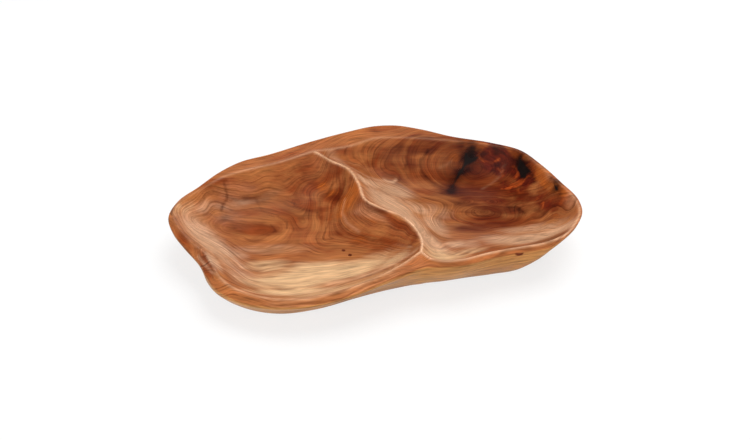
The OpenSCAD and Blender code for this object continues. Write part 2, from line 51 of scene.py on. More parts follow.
# The bowl in millimetres. Each share is of half the length, half the depth, the height,
# the widest band of the rim or its roll.
bowl = {
    "length": 400, "depth": 250, "height": 62,
    "footLength": 290, "footDepth": 168,
    "rimBand": 20, "rimRoll": 10, "edgeEase": 2,
    "leftFloor": 13, "rightFloor": 11, "wallRun": 60, "floorDish": 4,
    "hollow": 2, "ringBias": 1.35, "dishShare": 0.8,
    "spurHeight": 3, "spurWidth": 9,
    "spur": [[-0.12, 0.57], [-0.03, 0.49], [0.06, 0.44], [0.115, 0.44]],
    "leftMiddle": [-0.38, -0.15], "rightMiddle": [0.32, 0.48],
    "crown": [0.6, 0.75], "shoulder": [0.5, 0.02], "belly": 0.55, "toe": 0.5,
    # place, height of the basin's edge, band, roll, lean of the belly, foot, run of the wall
    "rim": [
        [-0.330, 0.865, 0.81, 0.65, 0.40, 0.05, 1.00, 0.62],
        [-0.525, 0.708, 0.79, 0.65, 0.40, 0.05, 1.00, 0.64],
        [-0.674, 0.616, 0.77, 0.60, 0.35, 0.05, 1.00, 0.66],
        [-0.773, 0.496, 0.76, 0.38, 0.16, 0.05, 1.00, 0.68],
        [-0.864, 0.330, 0.74, 0.22, 0.02, 0.05, 1.00, 0.72],
        [-0.952, 0.175, 0.73, 0.20, -0.14, 0.05, 1.02, 0.76],
        [-0.990, -0.035, 0.72, 0.24, -0.30, 0.06, 1.02, 0.80],
        [-0.962, -0.168, 0.71, 0.29, -0.50, 0.20, 0.96, 0.82],
        [-0.899, -0.332, 0.69, 0.30, -0.60, 0.35, 0.94, 0.84],
        [-0.821, -0.496, 0.68, 0.38, -0.90, 0.08, 1.00, 0.84],
        [-0.778, -0.660, 0.65, 0.42, -0.70, 0.05, 1.08, 0.82],
        [-0.735, -0.780, 0.63, 0.42, -0.60, 0.10, 1.08, 0.82],
        [-0.655, -0.880, 0.61, 0.38, -0.60, 0.15, 1.08, 0.84],
        [-0.492, -0.976, 0.61, 0.30, -0.55, 0.20, 1.04, 0.86],
        [-0.335, -1.000, 0.64, 0.26, -0.50, 0.28, 0.90, 0.90],
        [-0.138, -0.940, 0.70, 0.28, -0.45, 0.34, 0.76, 0.92],
        [0.070, -0.784, 0.77, 0.35, -0.40, 0.28, 0.76, 0.92],
        [0.150, -0.720, 0.79, 0.52, -0.40, 0.20, 0.75, 0.90],
        [0.230, -0.668, 0.81, 1.00, -0.40, 0.15, 0.75, 0.88],
        [0.262, -0.662, 0.81, 0.42, -0.40, 0.15, 0.74, 0.90],
        [0.305, -0.656, 0.81, 0.22, -0.40, 0.15, 0.70, 0.94],
        [0.395, -0.636, 0.80, 0.20, -0.40, 0.15, 0.68, 0.96],
        [0.540, -0.544, 0.79, 0.20, -0.40, 0.12, 0.76, 0.96],
        [0.680, -0.476, 0.78, 0.20, -0.35, 0.11, 0.81, 0.96],
        [0.825, -0.404, 0.78, 0.20, -0.35, 0.16, 0.83, 1.10],
        [0.898, -0.316, 0.79, 0.13, 0.00, 0.38, 0.84, 1.30],
        [0.960, -0.164, 0.80, 0.12, 0.00, 0.26, 0.90, 1.20],
        [0.988, -0.032, 0.82, 0.15, -0.05, 0.14, 0.92, 0.96],
        [0.977, 0.113, 0.84, 0.17, -0.05, 0.10, 0.94, 0.76],
        [0.907, 0.313, 0.86, 0.18, 0.00, 0.07, 0.96, 0.62],
        [0.817, 0.536, 0.89, 0.17, 0.00, 0.05, 1.00, 0.50],
        [0.724, 0.714, 0.91, 0.16, 0.00, 0.05, 1.00, 0.48],
        [0.579, 0.816, 0.91, 0.20, 0.05, 0.05, 1.00, 0.48],
        [0.380, 0.892, 0.92, 0.34, 0.15, 0.05, 1.00, 0.48],
        [0.228, 0.961, 0.94, 0.66, 0.35, 0.05, 1.00, 0.48],
        [0.101, 0.998, 0.95, 0.86, 0.45, 0.05, 1.00, 0.48],
        [0.000, 0.990, 0.94, 0.82, 0.50, 0.05, 1.00, 0.50],
        [-0.152, 0.957, 0.86, 1.00, 0.50, 0.05, 1.00, 0.56],
    ],
    "dividerFront": 18,
    # place, height of the crest, run of the walls to the left and to the right
    "divider": [
        [-0.225, 0.690, 0.74, 0.50, 0.60],
        [-0.130, 0.590, 0.70, 0.48, 0.74],
        [-0.085, 0.430, 0.68, 0.46, 0.84],
        [-0.045, 0.200, 0.68, 0.46, 0.88],
        [0.030, 0.092, 0.69, 0.46, 0.88],
        [0.122, -0.018, 0.71, 0.48, 0.86],
        [0.192, -0.205, 0.74, 0.50, 0.80],
        [0.218, -0.385, 0.77, 0.54, 0.70],
    ],
    # points between two stations, rings from the edges to each basin's middle and to the foot,
    # smoothing passes for each of a basin's rings, and rings of the foot itself
    "rimSteps": 12, "dividerSteps": 15, "basinRings": 52, "wallRings": 40,
    "passesPerRing": 6.75, "footRings": 24,
    # points worked out at once, an area that counts as none, and degrees of a crisp corner
    "batch": 2000, "leastArea": 1e-4, "crispAngle": 40,
}

pinOutline = [
    [0.15, 0.41], [0.50, -0.13], [0.30, -0.54], [-0.15, -0.41], [-0.49, 0.13], [-0.32, 0.47]]
# Each knot: surface, share of the way round it and down it, length, pocket depth, outline
knots = {
    "long_knot": {"side": "right", "at": [0.462, 0.345], "length": 46, "depth": 4.5, "outline": [
        [0.08, -0.34], [0.02, -0.36], [-0.05, -0.25], [-0.13, -0.29], [-0.21, -0.34],
        [-0.23, -0.24], [-0.17, -0.12], [-0.09, -0.05], [-0.06, 0.09], [-0.05, 0.20],
        [-0.03, 0.38], [-0.04, 0.60], [0.07, 0.66], [0.12, 0.41], [0.12, 0.20], [0.08, 0.03],
        [0.06, -0.14]]},
    "round_knot": {"side": "right", "at": [0.398, 0.142], "length": 25, "depth": 4.5, "outline": [
        [0.48, -0.38], [0.29, -0.39], [0.05, -0.25], [-0.21, -0.20], [-0.51, -0.10],
        [-0.35, 0.12], [-0.40, 0.30], [-0.26, 0.42], [0.04, 0.31], [0.29, 0.14], [0.38, -0.11]]},
    "rim_knot": {"side": "right", "at": [0.349, 0.090], "length": 15, "depth": 3, "outline": [
        [0.62, -0.34], [0.19, -0.27], [-0.32, -0.07], [-0.49, 0.19], [-0.21, 0.23], [0.21, 0.05]]},
    "wall_knot": {"side": "outer", "at": [0.603, 0.344], "length": 11, "depth": 3, "outline": [
        [-0.51, -0.15], [-0.28, -0.33], [0.07, -0.23], [0.50, -0.07], [0.48, 0.17],
        [0.13, 0.23], [-0.28, 0.12]]},
    "upper_pin_knot": {
        "side": "left", "at": [0.714, 0.669], "length": 5.5, "depth": 3, "outline": pinOutline},
    "lower_pin_knot": {
        "side": "left", "at": [0.681, 0.643], "length": 5.5, "depth": 3, "outline": pinOutline},
}
# The gap round a knot, how far its cutter overruns, points between two of its outline, its
# rings, and the step as a share of a surface that slopes are measured over
plug = {"gap": 0.1, "cutOver": 12, "outlineSteps": 6, "rings": 7, "probe": 0.01}


# How far each point lies from a line of straight steps
def awayFromLine(points, line):
    line = np.asarray(line, float)
    nearest = np.full(len(points), farOff)
    for a, b in zip(line[:-1], line[1:]):
        t = np.clip((points - a) @ (b - a) / ((b - a) @ (b - a)), 0, 1)
        nearest = np.minimum(nearest, np.linalg.norm(points - a - t[:, None] * (b - a), axis=1))
    return nearest


def planDistance(a, b):
    return np.linalg.norm((b - a)[:, :2], axis=1)[:, None]


# Each row's neighbours on a line that closes on itself
def neighbours(rows):
    return np.roll(rows, 1, axis=0), np.roll(rows, -1, axis=0)


def slopesOf(before, here, after):
    u = planDistance(before, here)
    v = planDistance(here, after)
    return ((here - before) / u * v + (after - here) / v * u) / (u + v)


# A smooth curve through rows of values, closed on itself or open with straight ends
def curveThrough(rows, steps, closed):
    rows = np.asarray(rows, float)
    if closed:
        here = rows
        before, after = neighbours(rows)
        slopes = slopesOf(before, here, after)
        slopesAfter = neighbours(slopes)[1]
    else:
        full = np.vstack([2 * rows[0] - rows[1], rows, 2 * rows[-1] - rows[-2]])
        slopes = slopesOf(full[:-2], full[1:-1], full[2:])
        here, after = rows[:-1], rows[1:]
        slopes, slopesAfter = slopes[:-1], slopes[1:]
    s = planDistance(here, after)
    points = []
    for k in range(steps):
        t = k / steps
        points.append((2 * t ** 3 - 3 * t ** 2 + 1) * here + (t ** 3 - 2 * t ** 2 + t) * s * slopes
                      + (3 * t ** 2 - 2 * t ** 3) * after + (t ** 3 - t ** 2) * s * slopesAfter)
    return np.stack(points, axis=1).reshape(-1, rows.shape[1])


# The height of a basin at plan points, from the loop of its edge: near pieces count most
def basinHeights(points, loop, wallColumn, floorHeight):
    after = neighbours(loop)[1]
    edgeHeights = (loop[:, 2] + after[:, 2]) / 2
    runs = (loop[:, wallColumn] + after[:, wallColumn]) / 2 * bowl["wallRun"]
    lengths = np.linalg.norm((after - loop)[:, :2], axis=1)
    heights = []
    for chunk in np.array_split(points, max(1, len(points) // bowl["batch"])):
        a = loop[None, :, :2] - chunk[:, None]
        b = after[None, :, :2] - chunk[:, None]
        area = np.abs(a[..., 0] * b[..., 1] - a[..., 1] * b[..., 0])
        along = (a * b).sum(axis=2)
        near = lengths / np.maximum(np.linalg.norm(a, axis=2) * np.linalg.norm(b, axis=2), tiny)
        far = np.arctan2(area, along) * lengths / np.maximum(area, bowl["leastArea"])
        weights = np.where(area > bowl["leastArea"], far, near)
        total = weights.sum(axis=1)
        edge = weights @ edgeHeights / total
        run = weights @ runs / total
        inward = math.pi / total
        inward = np.sqrt(inward ** 2 + bowl["edgeEase"] ** 2) - bowl["edgeEase"]
        fall = 1 - (1 - np.minimum(1, inward / run)) ** bowl["hollow"]
        dish = 1 - (1 - np.minimum(1, inward / bowl["dishShare"] / bowl["wallRun"])) ** 2
        heights.append(edge - (edge - floorHeight - bowl["floorDish"]) * fall - bowl["floorDish"] * dish)
    return np.concatenate(heights)


# The soft spur that runs off the divider into the right basin
def spurRise(points, half):
    away = awayFromLine(points, np.array(bowl["spur"]) * half)
    return bowl["spurHeight"] * np.exp(-(2 * away / bowl["spurWidth"]) ** 2)


# Rings of points from a basin's edge to its middle, their corners rounder with each ring
def basinGrid(loop, middle, wallColumn, floorHeight, half, spurred):
    middle = np.array(middle) * half
    rings = [loop[:, :3]]
    places = loop[:, :2].copy()
    done = 0
    for k in range(1, bowl["basinRings"] + 1):
        while done < round(k * bowl["passesPerRing"]):
            before, after = neighbours(places)
            places = (before + 2 * places + after) / 4
            done += 1
        at = places + (middle - places) * (k / bowl["basinRings"]) ** bowl["ringBias"]
        z = basinHeights(at, loop, wallColumn, floorHeight)
        if spurred:
            away = np.linalg.norm(at - places, axis=1) / bowl["spurWidth"]
            z = z + spurRise(at, half) * np.minimum(1, away)
        rings.append(np.column_stack([at, z]))
    return np.array(rings)


# An outline in plan, laid at one height
def level(outline, height):
    return np.column_stack([outline, np.full(len(outline), height)])


# The outer wall: arcs over seven handles, from the basin's edge over the rim to the foot
def outerGrid(rim, edges, foot):
    place, height, roll, lean = rim[:, :2], rim[:, 2], rim[:, 4], rim[:, 5:6]
    out = place - edges[:, :2]
    run = foot - place
    top = height + roll
    handles = [
        edges[:, :3],
        np.column_stack([edges[:, :2] + out * bowl["crown"][0], height + roll * bowl["crown"][1]]),
        np.column_stack([place, top]),
        np.column_stack([place + run * bowl["shoulder"][1], top - bowl["rimRoll"] * bowl["shoulder"][0]]),
        np.column_stack([place + run * lean, height * bowl["belly"]]),
        level(place + run * (lean + (1 - lean) * bowl["toe"]), 0),
        level(foot, 0),
    ]
    arcs = len(handles) - 2
    rings = []
    for k in range(bowl["wallRings"] + 1):
        at = k / bowl["wallRings"] * arcs
        i = min(int(at), arcs - 1)
        t = at - i
        first = handles[0] if i == 0 else (handles[i] + handles[i + 1]) / 2
        last = handles[i + 2] if i == arcs - 1 else (handles[i + 1] + handles[i + 2]) / 2
        rings.append(first * (1 - t) ** 2 + handles[i + 1] * 2 * t * (1 - t) + last * t ** 2)
    return np.array(rings)


# All three surfaces as grids of points, and the numbers of the edge points round each basin
def bowlGrids():
    half = np.array([bowl["length"], bowl["depth"]]) / 2
    scale = [half[0], half[1], bowl["height"], bowl["rimBand"], bowl["rimRoll"], 1, 1, 1]
    stations = np.array(bowl["rim"]) * scale
    rim = curveThrough(stations, bowl["rimSteps"], True)
    before, after = neighbours(stations)
    slopes = slopesOf(before, stations, after)[:, :2]
    outward = np.column_stack([slopes[:, 1], -slopes[:, 0]]) / np.linalg.norm(slopes, axis=1)[:, None]
    edgeRows = np.column_stack([
        stations[:, :2] - outward * stations[:, 3:4], stations[:, 2], stations[:, 7], stations[:, 7]])
    front = bowl["dividerFront"]
    edges = np.vstack([
        curveThrough(edgeRows[:front + 1], bowl["rimSteps"], False),
        curveThrough(np.vstack([edgeRows[front:], edgeRows[:1]]), bowl["rimSteps"], False)])
    frontPoint = front * bowl["rimSteps"]
    crest = np.array(bowl["divider"]) * [half[0], half[1], bowl["height"], 1, 1]
    divider = curveThrough(np.vstack([edges[0], crest, edges[frontPoint]]), bowl["dividerSteps"], False)[1:]
    footRaw = rim[:, :2] * rim[:, 6:7]
    foot = footRaw * [bowl["footLength"], bowl["footDepth"]] / (footRaw.max(axis=0) - footRaw.min(axis=0))
    outer = outerGrid(rim, edges, foot)
    tall = bowl["height"] / outer[..., 2].max()

    count = len(rim)
    allEdges = np.vstack([edges, divider])
    leftIds = list(range(frontPoint + 1)) + [count + i for i in range(len(divider) - 1, -1, -1)]
    rightIds = [i % count for i in range(frontPoint, count + 1)] + [count + i for i in range(len(divider))]
    leftRun, rightRun = 3, 4  # columns of the run of a wall to the left and to the right
    left = basinGrid(
        allEdges[leftIds], bowl["leftMiddle"], leftRun, bowl["leftFloor"] / tall, half, False)
    right = basinGrid(
        allEdges[rightIds], bowl["rightMiddle"], rightRun, bowl["rightFloor"] / tall, half, True)

    # scaled and moved, so that the bowl is as long, deep and high as named and stands centred
    everything = np.vstack([g.reshape(-1, 3) for g in (left, right, outer)])
    low, high = everything.min(axis=0), everything.max(axis=0)
    middle = [(low[0] + high[0]) / 2, (low[1] + high[1]) / 2, 0]
    size = [bowl["length"] / (high[0] - low[0]), bowl["depth"] / (high[1] - low[1]), tall]
    grids = {"left": left, "right": right, "outer": outer}
    grids = {name: (g - middle) * size for name, g in grids.items()}
    return grids, leftIds, rightIds, (allEdges[:, :3] - middle) * size


# A point of one of the surfaces, at a share of the way round it and a share of the way down
def skinPoint(grid, about, down):
    count = len(grid[0])
    at = about * count
    i = int(math.floor(at))
    s = at - i
    row = down * (len(grid) - 1)
    k = int(math.floor(row))
    t = row - k
    near = grid[k][i % count] * (1 - s) + grid[k][(i + 1) % count] * s
    far = grid[k + 1][i % count] * (1 - s) + grid[k + 1][(i + 1) % count] * s
    return near * (1 - t) + far * t


def unit(v):
    return v / np.linalg.norm(v)


# A knot's own frame on the surface: where it is, its three axes and millimetres per share
def knotFrame(grids, knot):
    grid = grids[knot["side"]]
    u, f = knot["at"]
    step = plug["probe"]
    along = (skinPoint(grid, u + step, f) - skinPoint(grid, u - step, f)) / 2 / step
    down = (skinPoint(grid, u, f + step) - skinPoint(grid, u, f - step)) / 2 / step
    x = unit(along)
    z = unit(np.cross(x, down))
    if knot["side"] == "outer":
        z = -z
    return {
        "grid": grid, "origin": skinPoint(grid, u, f), "axes": np.array([x, np.cross(z, x), z]),
        "perShare": [np.linalg.norm(along), np.linalg.norm(down)], "at": knot["at"],
    }


# The surface in a knot's own frame, at millimetres along the loop and down the wall
def knotSkin(place, at):
    u = place["at"][0] + at[0] / place["perShare"][0]
    f = place["at"][1] + at[1] / place["perShare"][1]
    return place["axes"] @ (skinPoint(place["grid"], u, f) - place["origin"])


# From a knot's own frame back to the bowl's
def fromKnot(place, points):
    return np.array(points) @ place["axes"] + place["origin"]


# A knot's outline as millimetres along and down the surface, and as seen in its own frame
def knotOutlines(place, knot):
    share = curveThrough(np.array(knot["outline"]) * knot["length"], plug["outlineSteps"], True)
    return share, np.array([knotSkin(place, at)[:2] for at in share])


# An outline moved inwards by the gap that a knot has round it
def drawnIn(outline, gap):
    before, after = neighbours(outline)
    area = (outline[:, 0] * after[:, 1] - outline[:, 1] * after[:, 0]).sum()
    d = after - before
    d = d / np.linalg.norm(d, axis=1)[:, None]
    return outline + np.column_stack([-d[:, 1], d[:, 0]]) * math.copysign(gap, area)


def ringFaces(ids, nextIds):
    count = len(ids)
    return [[ids[i], ids[(i + 1) % count], nextIds[(i + 1) % count], nextIds[i]] for i in range(count)]


# Adds rings of points and the faces between them, from a ring that is there already
def addRings(points, faces, last, rings, inside):
    for ring in rings:
        start = sum(len(group) for group in points)
        here = list(range(start, start + len(ring)))
        points.append(ring)
        faces += ringFaces(last, here) if inside else ringFaces(here, last)
        last = here
    return last


# Closes the last ring with a point in its middle
def addMiddle(points, faces, last, middle, inside):
    start = sum(len(group) for group in points)
    points.append([middle])
    for pair in zip(last, last[1:] + last[:1]):
        faces.append([*(pair if inside else pair[::-1]), start])


# The blank of the bowl before its knots' pockets are cut
def bowlMesh(grids, leftIds, rightIds, edges):
    points, faces = [edges], []
    for name, ids in (("left", leftIds), ("right", rightIds)):
        last = addRings(points, faces, ids, grids[name][1:-1], True)
        addMiddle(points, faces, last, grids[name][-1][0], True)
    outer = grids["outer"]
    last = addRings(points, faces, list(range(len(outer[0]))), outer[1:], False)
    # the flat foot, in rings too, so that the grain can be laid over it
    foot = [outer[-1] * (1 - k / bowl["footRings"]) for k in range(1, bowl["footRings"])]
    last = addRings(points, faces, last, foot, False)
    addMiddle(points, faces, last, [0, 0, 0], False)
    return np.vstack(points), faces


# A plug: the surface on top, plain sides and a flat seat
def plugMesh(place, knot):
    share, pocket = knotOutlines(place, knot)
    flat = drawnIn(pocket, plug["gap"])
    count = len(flat)
    top = []
    for k in range(plug["rings"], 0, -1):
        for i in range(count):
            p = knotSkin(place, share[i] * k / plug["rings"])
            top.append([flat[i][0], flat[i][1], p[2]] if k == plug["rings"] else p)
    middle = len(top)
    top.append(knotSkin(place, [0, 0]))
    points = np.vstack([top, level(flat, -knot["depth"])])
    rings = [list(range(k * count, (k + 1) * count)) for k in range(plug["rings"])]
    seat = list(range(middle + 1, middle + 1 + count))
    faces = [f for a, b in zip(rings[:-1], rings[1:]) for f in ringFaces(a, b)]
    faces += [[rings[-1][i], rings[-1][(i + 1) % count], middle] for i in range(count)]
    faces += ringFaces(seat, rings[0]) + [seat]
    return fromKnot(place, points), faces


# The pocket that a plug sits in, as a prism that overruns the surface
def pocketMesh(place, knot):
    pocket = knotOutlines(place, knot)[1]
    count = len(pocket)
    points = np.vstack([level(pocket, -knot["depth"]), level(pocket, plug["cutOver"])])
    lower, upper = list(range(count)), list(range(count, 2 * count))
    return fromKnot(place, points), ringFaces(lower, upper) + [lower, upper]


# Adds an object to the scene
def added(name, data):
    thing = bpy.data.objects.new(name, data)
    bpy.context.scene.collection.objects.link(thing)
    return thing


def meshObject(name, points, faces):
    mesh = bpy.data.meshes.new(name)
    mesh.from_pydata((np.asarray(points) * mm).tolist(), [], faces)
    bm = bmesh.new()
    bm.from_mesh(mesh)
    bmesh.ops.recalc_face_normals(bm, faces=bm.faces)
    bm.to_mesh(mesh)
    bm.free()
    return added(name, mesh)


# Smooth faces, with a crisp line only where two faces meet at more than the crisp angle
def smoothShaded(piece):
    mesh = piece.data
    mesh.polygons.foreach_set("use_smooth", [True] * len(mesh.polygons))
    mesh.set_sharp_from_angle(angle=math.radians(bowl["crispAngle"]))


def cutFrom(piece, cutter):
    cut = piece.modifiers.new("cut", "BOOLEAN")
    cut.operation = "DIFFERENCE"
    cut.solver = "EXACT"
    cut.object = cutter
    done = bpy.data.meshes.new_from_object(piece.evaluated_get(bpy.context.evaluated_depsgraph_get()))
    piece.modifiers.clear()
    piece.data = done
    bpy.data.objects.remove(cutter)


grids, leftIds, rightIds, edgePoints = bowlGrids()
places = {name: knotFrame(grids, knot) for name, knot in knots.items()}
points, faces = bowlMesh(grids, leftIds, rightIds, edgePoints)
carvedBowl = meshObject("carvedBowl", points, faces)
for name, knot in knots.items():
    cutFrom(carvedBowl, meshObject("pocketCutter", *pocketMesh(places[name], knot)))
smoothShaded(carvedBowl)
pieces = {"carved_bowl": carvedBowl}
for name, knot in knots.items():
    first, *others = name.split("_")
    title = first + "".join(word.title() for word in others)
    pieces[name] = meshObject(title, *plugMesh(places[name], knot))
    smoothShaded(pieces[name])
print("shapes made:", len(carvedBowl.data.vertices), "points in the bowl,", len(knots), "knots")


